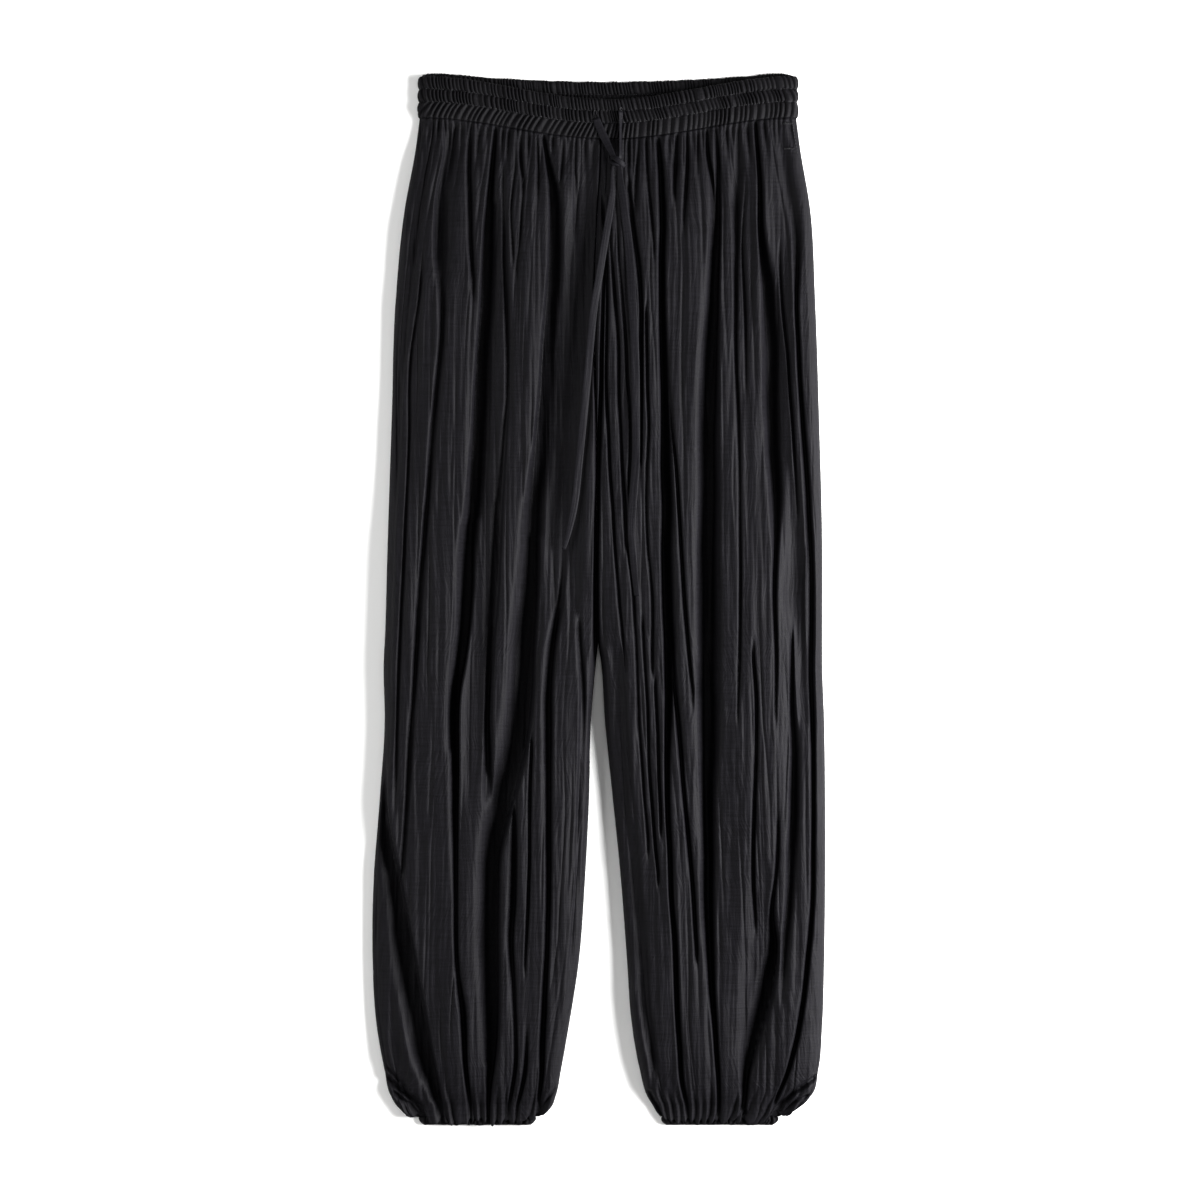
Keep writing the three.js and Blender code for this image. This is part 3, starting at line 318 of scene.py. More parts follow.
def soft_noise(across, down, seed):
    """Smooth random height from -1 to 1, one cell to each unit."""
    table = np.random.default_rng(seed).uniform(-1, 1, (256, 256))
    across, down = np.broadcast_arrays(across, down)
    col, row = np.floor(across).astype(int), np.floor(down).astype(int)
    fc, fr = eased(across - col), eased(down - row)
    col, row, next_col, next_row = col % 256, row % 256, (col + 1) % 256, (row + 1) % 256
    top = table[row, col] * (1 - fc) + table[row, next_col] * fc
    low = table[next_row, col] * (1 - fc) + table[next_row, next_col] * fc
    return top * (1 - fr) + low * fr


# Meshes
def add_piece(name, points, faces, uv=None):
    """A mesh object at the origin, from points in metres."""
    mesh = bpy.data.meshes.new(name)
    mesh.from_pydata([tuple(p) for p in points], [], [tuple(f) for f in faces])
    if uv is not None:
        layer = mesh.uv_layers.new(name="cloth")
        loops = np.empty(len(mesh.loops), dtype=int)
        mesh.loops.foreach_get("vertex_index", loops)
        layer.data.foreach_set("uv", np.asarray(uv, dtype=float)[loops].ravel())
    mesh.validate()
    for polygon in mesh.polygons:
        polygon.use_smooth = True
    piece = bpy.data.objects.new(name, mesh)
    bpy.context.scene.collection.objects.link(piece)
    return piece


def grid_faces(rows, columns, start=0, flip=False):
    index = start + np.arange(rows * columns).reshape(rows, columns)
    a, b = index[:-1, :-1].ravel(), index[:-1, 1:].ravel()
    c, d = index[1:, 1:].ravel(), index[1:, :-1].ravel()
    quads = np.stack([a, b, c, d], axis=1)
    return quads[:, ::-1] if flip else quads


def closed_cloth(name, fine, plain, uv, flip=False):
    """A closed sheet between a fine face and a plain one, both grids of (rows, columns, 3) in millimetres.

    Rows run down the garment. The plain face keeps every other row and column. flip is for a fine face below.
    """
    rows, columns = fine.shape[:2]
    half_rows, half_columns = rows // 2 + 1, columns // 2 + 1
    count = rows * columns

    def border(height, width, start):
        index = start + np.arange(height * width).reshape(height, width)
        return np.concatenate([index[0, :-1], index[:-1, -1], index[-1, :0:-1], index[:0:-1, 0]])

    outer, inner = border(rows, columns, 0), border(half_rows, half_columns, count)
    outer = np.append(outer, outer[0])
    inner = np.append(inner, inner[0])
    rim = [(outer[2 * k], outer[2 * k + 1], outer[2 * k + 2], inner[k + 1], inner[k]) for k in range(len(inner) - 1)]
    faces = [*grid_faces(rows, columns, flip=True), *grid_faces(half_rows, half_columns, count), *rim]
    if flip:
        faces = [tuple(reversed(face)) for face in faces]
    points = np.concatenate([fine.reshape(-1, 3), plain[::2, ::2].reshape(-1, 3)])
    return add_piece(name, in_frame(points), faces, np.concatenate([uv.reshape(-1, 2), uv[::2, ::2].reshape(-1, 2)]))


def other_face(sheet, distance, first=None, last=None):
    """A grid moved along its own normals. first and last give the directions of its end columns instead."""
    normal = np.cross(np.gradient(sheet, axis=0), np.gradient(sheet, axis=1))
    normal /= np.linalg.norm(normal, axis=-1, keepdims=True)
    if first is not None:
        normal[:, 0], normal[:, -1] = first, last
    return sheet + normal * distance


# The waist's curves
def waist_share(x):
    return np.clip((x - WAIST["centre"]) / WAIST["half"], -1, 1)


def sag(x):
    return (1 + np.cos(np.pi * waist_share(x))) / 2


def front_rim(x):
    return FRONT_RIM - FRONT_RIM_SAG * sag(x)


def front_seam(x):
    return FRONT_SEAM - FRONT_SEAM_SAG * sag(x)


def back_rim(x):
    share = waist_share(x)
    return BACK_RIM + BACK_RIM_RISE * share**2 - BACK_RIM_CORNER * share**BACK_RIM_CORNER_POWER


def back_seam(x):
    return BACK_SEAM + BACK_SEAM_RISE * waist_share(x) ** 2


PANEL_TOP, WAIST_CURVE_END, PANEL_BOTTOM = 480.0, 330.0, -516.0


def row_heights(top_step, middle_step, low_step):
    """Heights of a panel's rows, closer together at the waist and at the hem."""
    top = np.linspace(PANEL_TOP, 430.0, int(50 / top_step) // 2 * 2 + 1)
    middle = np.linspace(430.0, -464.0, int(894 / middle_step) // 2 * 2 + 1)
    low = np.linspace(-464.0, PANEL_BOTTOM, int(52 / low_step) // 2 * 2 + 1)
    return np.concatenate([top, middle[1:], low[1:]])[:, None]


def followed(x, nominal, seam):
    share = np.clip((nominal - WAIST_CURVE_END) / (PANEL_TOP - WAIST_CURVE_END), 0, 1)
    return nominal + (seam(x) - SEAM - PANEL_TOP) * share


LEGS = {
    "right": {"low": "right_outer", "high": "right_inner", "outer_is_low": True, "seed": 11},
    "left": {"low": "left_inner", "high": "left_outer", "outer_is_low": False, "seed": 53},
}


def panel_grid(leg, nominal, columns):
    """X at each row and column of a leg's panel, with closer columns at its two edges."""
    low = along(OUTLINE["y"], OUTLINE[leg["low"]], nominal)
    high = along(OUTLINE["y"], OUTLINE[leg["high"]], nominal)
    apart = np.where(nominal < -52, 0, SEAM / 2)
    low, high = (low, high - apart) if leg["outer_is_low"] else (low + apart, high)
    share = np.linspace(0, 1, columns)
    share = (share - 0.35 * np.sin(2 * np.pi * share) / (2 * np.pi))[None, :]
    return low + (high - low) * share, share, low, high


def main_folds(x, nominal, seed):
    """Depth of the folds at each point, as a share of the ridge."""
    total = np.zeros_like(x)
    for number, fold in enumerate(FOLDS):
        heights, courses, depths, lefts, rights = zip(*fold)
        course = along(heights, courses, nominal) + 0.5 * soft_noise(nominal / 42, number * 3.3, seed)
        away = x - course
        if np.abs(away).min() > 25:
            continue
        shown = eased((nominal - heights[-1] + FOLD_FADE) / FOLD_FADE)
        if heights[0] <= SEAM_START:
            shown = eased((heights[0] + FOLD_FADE - nominal) / FOLD_FADE) * shown
        uneven = 1 + 0.12 * soft_noise(number * 5.1, nominal / 60, seed + 1)
        heights = heights[::-1]
        depth = np.interp(nominal, heights, depths[::-1]) * shown * uneven
        if max(lefts + rights) < FINE_REACH:
            depth = depth * (1 - BUNDLE_SHALLOWER * np.exp(-((course - BUNDLE_MIDDLE) / BUNDLE_HALF) ** 4))
        left = np.interp(nominal, heights, lefts[::-1])
        right = np.interp(nominal, heights, rights[::-1])
        reach = np.where(away < 0, left, right)
        if courses[0] < 0:
            reach = np.where(reach > BROAD_REACH, BROADER * reach, reach)
        # the wider a fold, the flatter its floor and the steeper its walls
        steepness = np.where(reach < 4, 2.6, np.clip(1.6 + 0.14 * reach, 2.4, 4.2))
        near = np.exp(-np.abs(away / reach) ** steepness)
        total += (np.clip(depth, 0, 1) * near) ** 3
    return np.minimum(total ** (1 / 3), 1.0)


def low_parts(x, nominal):
    """Depth of the broad low parts at each point, as a share of the ridge."""
    total = np.zeros_like(x)
    for part in LOW_PARTS:
        heights, middles, widths, depths = zip(*part)
        shown = eased((heights[0] + LOW_PART_FADE - nominal) / LOW_PART_FADE)
        shown = shown * eased((nominal - heights[-1] + LOW_PART_FADE) / LOW_PART_FADE)
        away = (x - along(heights, middles, nominal)) / along(heights, widths, nominal)
        total = np.maximum(total, along(heights, depths, nominal) * shown * np.exp(-np.abs(away) ** 3))
    return total


def short_gathers(x, nominal, low, high, pleats, end):
    """Depth in millimetres of the short gathers that leave one end of a panel."""
    total = np.zeros_like(x)
    row = np.argmin(np.abs(nominal - end))
    for place, reach, depth in pleats:
        share = (place - low[row]) / (high[row] - low[row])
        if not 0.02 < share < 0.98:
            continue
        lasts = eased(1 - np.abs(nominal - end) / reach)
        away = (x - low - share * (high - low)) / PLEAT_REACH
        total = np.maximum(total, depth * lasts * np.exp(-away**2))
    return total


def corner_folds(x, nominal):
    """Depth in millimetres of the folds that round the legs' lower corners."""
    total = np.zeros_like(x)
    y = nominal + 0 * x
    for points, depth, reach in CORNER_FOLDS:
        nearest = np.full_like(x, 1e3)
        for (x0, y0), (x1, y1) in zip(points, points[1:]):
            t = np.clip(((x - x0) * (x1 - x0) + (y - y0) * (y1 - y0)) / ((x1 - x0) ** 2 + (y1 - y0) ** 2), 0, 1)
            nearest = np.minimum(nearest, np.hypot(x - x0 - t * (x1 - x0), y - y0 - t * (y1 - y0)))
        total = np.maximum(total, depth * np.exp(-(nearest / reach) ** 2))
    return total


def minor_creases(x, nominal, low, high, seed, count):
    """Depth in millimetres of small lengthwise creases of uneven length, depth and spacing."""
    rng = np.random.default_rng(seed)
    total = np.zeros_like(x)
    for _ in range(count):
        share, start = rng.uniform(0.02, 0.98), rng.uniform(PANEL_BOTTOM - 40, PANEL_TOP + 40)
        length, deep, reach = rng.uniform(60, 380), rng.uniform(0.4, 1.8), rng.uniform(0.9, 2.2)
        course = low + share * (high - low) + 3.5 * soft_noise(nominal / 110, share * 50, seed + 7)
        lasts = np.clip(1 - np.abs((nominal - start) / (length / 2)) ** 2, 0, 1)
        total = np.maximum(total, deep * lasts * np.exp(-np.abs((x - course) / reach) ** 1.5))
    return total


def crinkle(x, nominal, seed):
    """The crinkled cloth's own relief in millimetres: long fine lines, with softer cross puckers."""
    flow = x + 4.0 * soft_noise(x / 60, nominal / 150, seed)
    relief = 0.62 * soft_noise(flow / 5.0, nominal / 120, seed + 1)
    relief += 0.4 * soft_noise(flow / 2.6, nominal / 60, seed + 2)
    relief += 0.2 * soft_noise(flow / 1.7, nominal / 30, seed + 3)
    crumpled = np.clip(soft_noise(x / 45, nominal / 130, seed + 4) + 0.25, 0, 1)
    relief += 0.55 * crumpled * soft_noise(flow / 5.5, nominal / 11, seed + 5)
    return relief


def front_sheet(side, band_edge, casing_edge):
    """Upper face of a leg's front in millimetres, and how far each row is below the crotch.

    band_edge and casing_edge are the rows of the waistband and of the casing that it is sewn to.
    """
    leg = LEGS[side]
    nominal = row_heights(2.0, 5.6, 1.5)
    x, share, low, high = panel_grid(leg, nominal, 341)
    seed = leg["seed"]
    crown = along(HEIGHTS["y"], HEIGHTS["crown"], nominal)
    edge = along(HEIGHTS["y"], HEIGHTS["edge"], nominal)
    room = crown - LOWEST_FRONT
    across = 2 * share - 1
    outward = -across if leg["outer_is_low"] else across
    opened = eased((60.0 - nominal) / 240.0)
    fall = np.where(outward > 0, 1.0, opened) * 0.3 * across**4
    swell = 0.97 - fall + 0.13 * soft_noise(x / 24, nominal / 240, seed + 8)
    small = 1 - 0.7 * eased((10 - room) / 8)
    z = LOWEST_FRONT + room * (swell - low_parts(x, nominal)) * (1 - 0.97 * main_folds(x, nominal, seed))
    at_waist = WAIST_PLEAT_SHARE * short_gathers(x, nominal, low, high, WAIST_PLEATS, PANEL_TOP)
    at_hem = HEM_PLEAT_SHARE * short_gathers(x, nominal, low, high, HEM_PLEATS, PANEL_BOTTOM)
    lengthwise = minor_creases(x, nominal, low, high, seed + 20, 110)
    creases = np.maximum(np.maximum(at_waist, at_hem), lengthwise)
    z -= small * creases + CORNER_SHARE * corner_folds(x, nominal)
    inward = np.minimum(x - low, high - x)
    z += crinkle(x, nominal, seed + 30) * small * np.clip(inward / 5, 0, 1)
    # the cloth comes out of the waist seam at the band's own gathers, and gathers more finely near it
    pucker = np.interp(x, band_edge[:, 0], band_edge[:, 2] - band_edge[:, 2].mean())
    sewn = np.exp(-(PANEL_TOP - nominal) / 4.5)
    z = z * (1 - sewn) + (np.interp(x, band_edge[:, 0], band_edge[:, 2]) - 0.4) * sewn
    z += 1.3 * pucker * np.exp(-(PANEL_TOP - nominal) / 13) * (1 - sewn)
    z = LOWEST_FRONT + np.log1p(np.exp((z - LOWEST_FRONT) * 1.5)) / 1.5
    # at the hem the ridges hang over the casing and turn in under themselves
    turned = np.clip((-503.0 - nominal) / 13.0, 0, 1)
    ridge = np.clip((z - LOWEST_FRONT) / room, 0, 1)
    full = LOWEST_FRONT + 1.0 + 1.25 * (8.6 - LOWEST_FRONT) * ridge
    z = z * (1 - eased(turned * 2)) + full * eased(turned * 2)
    sewn = eased((turned - 0.6) / 0.4)
    z = z * (1 - sewn) + np.interp(x, casing_edge[:, 0], casing_edge[:, 2]) * sewn
    hang = (12.5 + 3.5 * soft_noise(x / 6.0, 0.5, seed + 9)) * ridge * np.sin(np.pi * turned**1.15)
    # edges rounded down to the side seam and inseam, and a shallow valley along the centre seam
    open_leg = eased((CROTCH_BLEND[0] - nominal) / (CROTCH_BLEND[0] - CROTCH_BLEND[1]))
    inner_height = (LOWEST_FRONT + 0.45 * room) * (1 - open_leg) + edge * open_leg
    for from_side, is_outer in ((x - low, leg["outer_is_low"]), (high - x, not leg["outer_is_low"])):
        height = edge if is_outer else inner_height
        reach = np.clip(crown * 0.5, 3.5, 11.0) * (1 if is_outer else 0.4 + 0.6 * open_leg)
        z = height + (z - height) * np.sqrt(1 - (1 - np.clip(from_side / reach, 0, 1)) ** 2)
    hang *= np.clip(np.minimum(x - low, high - x) / 9, 0, 1)
    sheet = np.stack([x, followed(x, nominal, front_seam) - hang, z], axis=-1)
    return sheet, nominal, open_leg


def cloth_uv(sheet):
    """Distances over the cloth in metres: across it, row by row, and down it."""
    steps = np.linalg.norm(np.diff(sheet[..., ::2], axis=1), axis=-1)
    width = np.concatenate([np.zeros((sheet.shape[0], 1)), np.cumsum(steps, axis=1)], axis=1)
    return np.stack([width - width[:, -1:] / 2, sheet[..., 1]], axis=-1) * MM


def edge_turns(leg, open_leg, facing):
    """Directions of the cloth's face at a panel's first and last columns. facing is 1 for a front, -1 for a back."""
    up = np.array([0, 0, 1.0])
    inner = np.array([1.0 if leg["outer_is_low"] else -1.0, 0, 0]) * facing
    turned = up * (1 - open_leg) + inner * open_leg
    turned /= np.linalg.norm(turned, axis=-1, keepdims=True)
    return (-inner, turned) if leg["outer_is_low"] else (turned, -inner)


def leg_front(side, band_edge, casing_edge):
    leg = LEGS[side]
    sheet, nominal, open_leg = front_sheet(side, band_edge, casing_edge)
    below = other_face(sheet, -LEG_CLOTH, *edge_turns(leg, open_leg, 1))
    piece = closed_cloth(f"cloth_leg_front_{side}", sheet, below, cloth_uv(sheet))
    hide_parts(f"leg_front_{side}")
    return piece, sheet


def leg_back(side):
    """A back panel: its underside lies on the surface, in low soft folds."""
    leg = LEGS[side]
    nominal = row_heights(3.0, 7.0, 2.5)
    x, _, low, high = panel_grid(leg, nominal, 161)
    seed = leg["seed"] + 100
    edge = along(HEIGHTS["y"], HEIGHTS["edge"], nominal) - SEAM
    wander = x + 6 + 7 * soft_noise(nominal / 160, 0.5, seed)
    fold = 1.5 * main_folds(wander, nominal, seed)
    fold = np.maximum(fold, 0.8 * minor_creases(x, nominal, low, high, seed + 20, 90))
    fold += 0.25 * (1 + soft_noise(x / 4.6, nominal / 120, seed + 3))
    pulled = np.exp(-(PANEL_TOP - nominal) / 20) + np.exp(-(nominal - PANEL_BOTTOM) / 14)
    fold += 0.35 * pulled * (1 + np.cos(2 * np.pi * x / 5.6))
    open_leg = eased((CROTCH_BLEND[0] - nominal) / (CROTCH_BLEND[0] - CROTCH_BLEND[1]))
    z = np.minimum(fold, 2.1) * np.clip(np.minimum(x - low, high - x) / 6, 0, 1)
    for from_side, is_outer in ((x - low, leg["outer_is_low"]), (high - x, not leg["outer_is_low"])):
        turned = np.clip(1 - from_side / 4.0, 0, 1)
        z += edge * (1 - np.sqrt(1 - turned**2)) * (1 if is_outer else open_leg)
    sheet = np.stack([x, followed(x, nominal, back_seam), z], axis=-1)
    above = other_face(sheet, LEG_CLOTH, *edge_turns(leg, open_leg, -1))
    piece = closed_cloth(f"cloth_leg_back_{side}", sheet, above, cloth_uv(sheet), flip=True)
    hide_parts(f"leg_back_{side}")
    return piece


def band_section(share, half, bend, edge, rise):
    """Half of a band's section: straight in the middle, turned towards the other half at both sides."""
    arc = (np.pi / 2) * np.sqrt((bend**2 + rise**2) / 2)
    length = 2 * (half - bend) + 2 * arc
    from_left = share * length
    nearest = np.minimum(from_left, length - from_left)
    side = np.where(share <= 0.5, -1.0, 1.0)
    angle = np.minimum(nearest / arc, 1) * np.pi / 2
    x = side * (half - bend + bend * np.cos(angle) - np.maximum(nearest - arc, 0))
    z = edge + rise * np.sin(angle)
    outward = side if rise > 0 else -side
    normal = np.stack([outward * np.cos(angle) / bend, np.zeros_like(share), np.sin(angle) / abs(rise)], axis=-1)
    return x, z, normal / np.linalg.norm(normal, axis=-1, keepdims=True), length


def gather_ridges(share, gathers, seed, shift):
    """Rounded ridges with sharp valleys between them, of uneven width and height."""
    uneven = 0.7 * soft_noise(share * gathers / 2.3, shift, seed) + 1.2 * soft_noise(share * 13, shift, seed + 1)
    phase = share * gathers + shift + uneven
    height = 0.68 + 0.32 * soft_noise(share * gathers / 1.9, shift * 3.1, seed + 2)
    return height * np.abs(np.sin(np.pi * phase)) ** 1.2


def gathered_band(name, sizes, centre, front, rim, seam, channels, relief_sizes, dips, columns, rows, seed):
    """Half of an elastic band.

    Each channel gives where it ends, from the rim (0) to the seam (1), its number of gathers, and how far they lean
    on either half. relief_sizes are its fullness, the height of its gathers, how far its stitched rows and its lower
    corners draw in at the sides, and the relief of its other face. dips are X, depth and reach.
    """
    puff, ripple, scallop, corner, relief_below = relief_sizes
    rise_to = sizes["hollow"] - sizes["edge"] if front else SEAM - sizes["edge"]
    down = np.linspace(0, 1, rows)[:, None]
    share = np.linspace(0, 1, columns)[None, :]
    full = np.zeros((rows, columns))
    ridges = np.zeros((rows, columns))
    top = 0.0
    for number, (low, gathers, lean_right, lean_left) in enumerate(channels):
        line = 0.012 * soft_noise(share * 60, number, seed + 3) * (0 < low < 1)
        inside = np.clip((down - top - line) / (low - top), 0, 1)
        in_channel = (down - line >= top) & (down - line <= low)
        swell = np.sqrt(np.clip(np.sin(np.pi * inside), 0, 1))
        full = np.where(in_channel, 0.45 + 0.55 * swell, full)
        lean = (inside - 0.5) * (lean_right + (lean_left - lean_right) * eased((share - 0.4) * 5))
        wave = gather_ridges(share + lean / gathers, gathers, seed + 10 * number, 0.37 * number)
        ridges = np.where(in_channel, (0.75 + 0.25 * swell) * wave, ridges)
        top = low
    half = sizes["half"] - (sizes["cloth"] if front else 0) - scallop * (1 - full) - corner * down**3
    x, z, normal, length = band_section(share + 0 * down, half, sizes["bend"],
                                        sizes["edge"] if front else sizes["edge"] - SEAM, rise_to)
    x = x + centre
    wavy = 0.9 * (ridges - 0.5) * np.exp(-(down / 0.05) ** 2)
    y = rim(x) * (1 - down) + seam(x) * down + wavy
    plain = np.stack([x, y, z], axis=-1)
    at_sides = np.clip(np.minimum(share, 1 - share) * length / 5, 0, 1)
    rounded = 1 - 0.45 * np.exp(-(down / 0.03) ** 2)
    thick = (sizes["cloth"] - 0.5 * (1 - full) + puff * full) * rounded + ripple * ridges * (0.45 + 0.55 * at_sides)
    for place, depth, reach in dips:
        thick -= depth * np.exp(-((x - place) / reach) ** 2) * at_sides
    relief = plain + normal * np.maximum(thick, 0.5)[..., None]
    if relief_below:
        plain = plain - normal * (relief_below * ridges * at_sides)[..., None] * np.array([0, 0, -1.0])
    uv = np.stack(np.broadcast_arrays(share * length * 1.4, -down * 40), axis=-1) * MM
    return closed_cloth(name, relief, plain, uv), relief


def waistband(half_name):
    front = half_name == "front"
    piece, relief = gathered_band(
        f"cloth_waistband_{half_name}", WAIST, WAIST["centre"], front, front_rim if front else back_rim,
        front_seam if front else back_seam, WAIST_CHANNELS, WAIST_RELIEF[half_name], (), 1201, 55,
        301 if front else 401,
    )
    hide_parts(f"waistband_{half_name}")
    return piece, relief


def cuff(side, half_name):
    front = half_name == "front"
    ends = [(fold[-1][1], 1.3, 2.4) for fold in FOLDS if fold[-1][0] < -500]
    dips = ends + [(place, 1.2, 1.4) for place, _, _ in HEM_PLEATS]
    piece, relief = gathered_band(
        f"cloth_cuff_{side}_{half_name}", CUFF, CUFF_CENTRE[side], front,
        lambda x: CUFF_TOP - SEAM + 0 * x,
        lambda x: CUFF_BOTTOM + 1.1 * (1 + soft_noise(x / 4.1, 0.5, 61)) * (1 if front else 0.4), CUFF_CHANNELS,
        CUFF_RELIEF[half_name], dips if front else (), 361, 17, 501 + (side == "left") * 7,
    )
    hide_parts(f"cuff_{side}_{half_name}")
    return piece, relief


# Drawstring
def smooth_route(points, step):
    """A smooth line through a route's points, one point to each step."""
    points = np.array(points, dtype=float)
    ends = np.concatenate([[2 * points[0] - points[1]], points, [2 * points[-1] - points[-2]]])
    line = []
    for a, b, c, d in zip(ends, ends[1:], ends[2:], ends[3:]):
        count = max(int(np.linalg.norm(c - b) / step), 2)
        for t in np.arange(count) / count:
            line.append(0.5 * (2 * b + (c - a) * t + (2 * a - 5 * b + 4 * c - d) * t**2
                               + (3 * b - 3 * c + d - a) * t**3))
    line.append(points[-1])
    return np.array(line)


def ribbon(name, route, widths, twists, thick=TIE_THICK, step=2.0, sides=14):
    """A flat tie along a route. widths and twists (in degrees) are pairs of distance along it and value."""
    line = smooth_route(route, step)
    count = len(line)
    travelled = np.concatenate([[0], np.cumsum(np.linalg.norm(np.diff(line, axis=0), axis=1))])
    width = np.interp(travelled, *zip(*widths))
    twist = np.radians(np.interp(travelled, *zip(*twists)))
    tangent = np.gradient(line, axis=0)
    tangent /= np.linalg.norm(tangent, axis=1, keepdims=True)
    across = np.cross(tangent, [0, 0, 1.0])
    across /= np.linalg.norm(across, axis=1, keepdims=True)
    up = np.cross(across, tangent)
    angle = np.linspace(0, 2 * np.pi, sides, endpoint=False)
    flat, tall = np.cos(angle), np.sin(angle)
    flat = np.sign(flat) * np.abs(flat) ** 0.6
    wave = 0.25 * soft_noise(travelled / 16, 0.5, len(name))
    rings = []
    for i in range(count):
        side = across[i] * math.cos(twist[i]) + up[i] * math.sin(twist[i])
        over = up[i] * math.cos(twist[i]) - across[i] * math.sin(twist[i])
        body = flat[:, None] * side * width[i] / 2
        rings.append(line[i] + body + (tall * thick / 2 + wave[i] * (1 - flat**2))[:, None] * over)
    points = np.array(rings).reshape(-1, 3)
    faces = []
    for i in range(count - 1):
        for k in range(sides):
            n = (k + 1) % sides
            faces.append((i * sides + k, (i + 1) * sides + k, (i + 1) * sides + n, i * sides + n))
    faces.append(tuple(range(sides)))
    faces.append(tuple(reversed(range((count - 1) * sides, count * sides))))
    uv = np.stack([np.tile(flat, count) * np.repeat(width, sides) / 2, np.repeat(travelled, sides)], axis=1) * MM
    piece = add_piece(name, in_frame(points), faces, uv)
    return piece, in_frame(line)


def knot():
    """The half knot: a band of the tie wound once round the two strands, with small bunched folds."""
    x, y, z = KNOT_PLACE
    wrap = [(x - 6.6, y + 3.2, z - 1.2), (x - 3.6, y + 3.6, z + 2.2), (x + 0.4, y + 1.0, z + 3.4),
            (x + 4.4, y - 2.2, z + 2.0), (x + 6.4, y - 3.2, z - 1.0), (x + 4.6, y - 1.4, z - 2.6),
            (x + 0.2, y + 0.8, z - 2.9), (x - 4.4, y + 2.6, z - 2.7), (x - 6.2, y + 0.6, z - 0.6),
            (x - 4.2, y - 1.8, z + 1.6), (x - 0.6, y - 2.6, z + 2.2), (x + 3.0, y - 3.0, z + 0.8)]
    piece, _ = ribbon("tie_knot", wrap, ((0, 3.4), (8, 5.8), (16, 6.0), (26, 4.4), (50, 3.6)), ((0, 0), (50, 15)),
                      2.0, 0.8, 12)
    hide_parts("drawstring_knot")
    return piece


def drawstring(tie_cloth):
    lump = knot()
    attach(lump, "root")
    lump.data.materials.append(tie_cloth)
    over = (KNOT_PLACE[0] - 0.6, KNOT_PLACE[1], KNOT_PLACE[2] + 1.0)
    under = (KNOT_PLACE[0] - 0.4, KNOT_PLACE[1], KNOT_PLACE[2] - 1.6)
    halves = (
        ("tie_from_right", UPPER_RIGHT_ROUTE, over, TAIL_LEFT_ROUTE, [lump], ("upper_right", "tail_left"),
         ((0, 7.5), (20, 8.0), (34, 6.4), (46, 4.4), (56, 4.6), (72, 7.0), (110, 8.2), (160, 8.6), (210, 8.3),
          (270, 8.6), (330, 8.0), (400, 8.2), (450, 6.8), (478, 5.6), (492, 4.6)),
         ((0, 0), (30, -4), (50, -10), (70, -14), (110, 4), (160, -6), (220, 0), (290, 5), (350, -8), (420, 2),
          (470, -12))),
        ("tie_from_left", UPPER_LEFT_ROUTE, under, TAIL_RIGHT_ROUTE, [], ("upper_left", "tail_right"),
         ((0, 6.5), (12, 5.4), (30, 4.6), (48, 4.2), (58, 4.6), (72, 6.5), (110, 7.4), (200, 7.8), (280, 8.0),
          (350, 7.6), (400, 7.2), (430, 5.4), (446, 3.2)),
         ((0, 35), (15, 62), (38, 60), (52, 24), (70, 18), (120, 12), (170, 16), (230, 10), (280, 14), (330, 6),
          (390, 12), (446, 0))),
    )
    for name, upper, crossing, tail, with_pieces, nodes, widths, twists in halves:
        piece, line = ribbon(name, (*upper, crossing, *tail), widths, twists)
        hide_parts(*(f"drawstring_{node}" for node in nodes))
        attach(piece, "root")
        piece.data.materials.append(tie_cloth)


# Sewing
def threads(name, stitches, radius=0.28):
    """Short round threads between pairs of points in millimetres, sunk into the cloth at their ends."""
    points, faces = [], []
    sides = 6
    angle = 2 * np.pi * np.arange(sides) / sides
    for start, end in stitches:
        forward = (end - start) / np.linalg.norm(end - start)
        side = np.cross(forward, [0, 0, 1.0])
        side /= np.linalg.norm(side)
        over = np.cross(side, forward)
        base = len(points)
        for part, size, sink in ((0.0, 0.35, -0.5), (0.2, 1.0, 0.0), (0.8, 1.0, 0.0), (1.0, 0.35, -0.5)):
            ring = size * (np.cos(angle)[:, None] * side + np.sin(angle)[:, None] * over) + sink * over
            points.extend(start + part * (end - start) + radius * ring)
        for ring in range(3):
            for k in range(sides):
                n = (k + 1) % sides
                a = base + ring * sides
                faces.append((a + k, a + n, a + sides + n, a + sides + k))
        faces.append(tuple(base + k for k in reversed(range(sides))))
        faces.append(tuple(base + 3 * sides + k for k in range(sides)))
    return add_piece(name, in_frame(np.array(points)), faces)


def row_of_stitches(line, length=2.6, gap=0.9):
    """Pairs of points for a row of stitches along a line."""
    travelled = np.concatenate([[0], np.cumsum(np.linalg.norm(np.diff(line, axis=0), axis=1))])

    def at(distance):
        return np.array([np.interp(distance, travelled, line[:, k]) for k in range(3)])

    return [(at(start), at(start + length)) for start in np.arange(0, travelled[-1] - length, length + gap)]


def on_cloth(sheet, places, lift=0.15):
    """Points of a sheet at X, Y places, with the cloth's height there."""
    found = []
    for x, y in places:
        row = np.argmin(np.abs(sheet[:, sheet.shape[1] // 2, 1] - y))
        middle = np.interp(x, sheet[row, :, 0], sheet[row, :, 1])
        row = int(np.clip(row + round((middle - y) / max(sheet[row - 1, 0, 1] - sheet[row, 0, 1], 0.5)), 0,
                          len(sheet) - 1))
        found.append((x, y, np.interp(x, sheet[row, :, 0], sheet[row, :, 2]) + lift))
    return np.array(found)


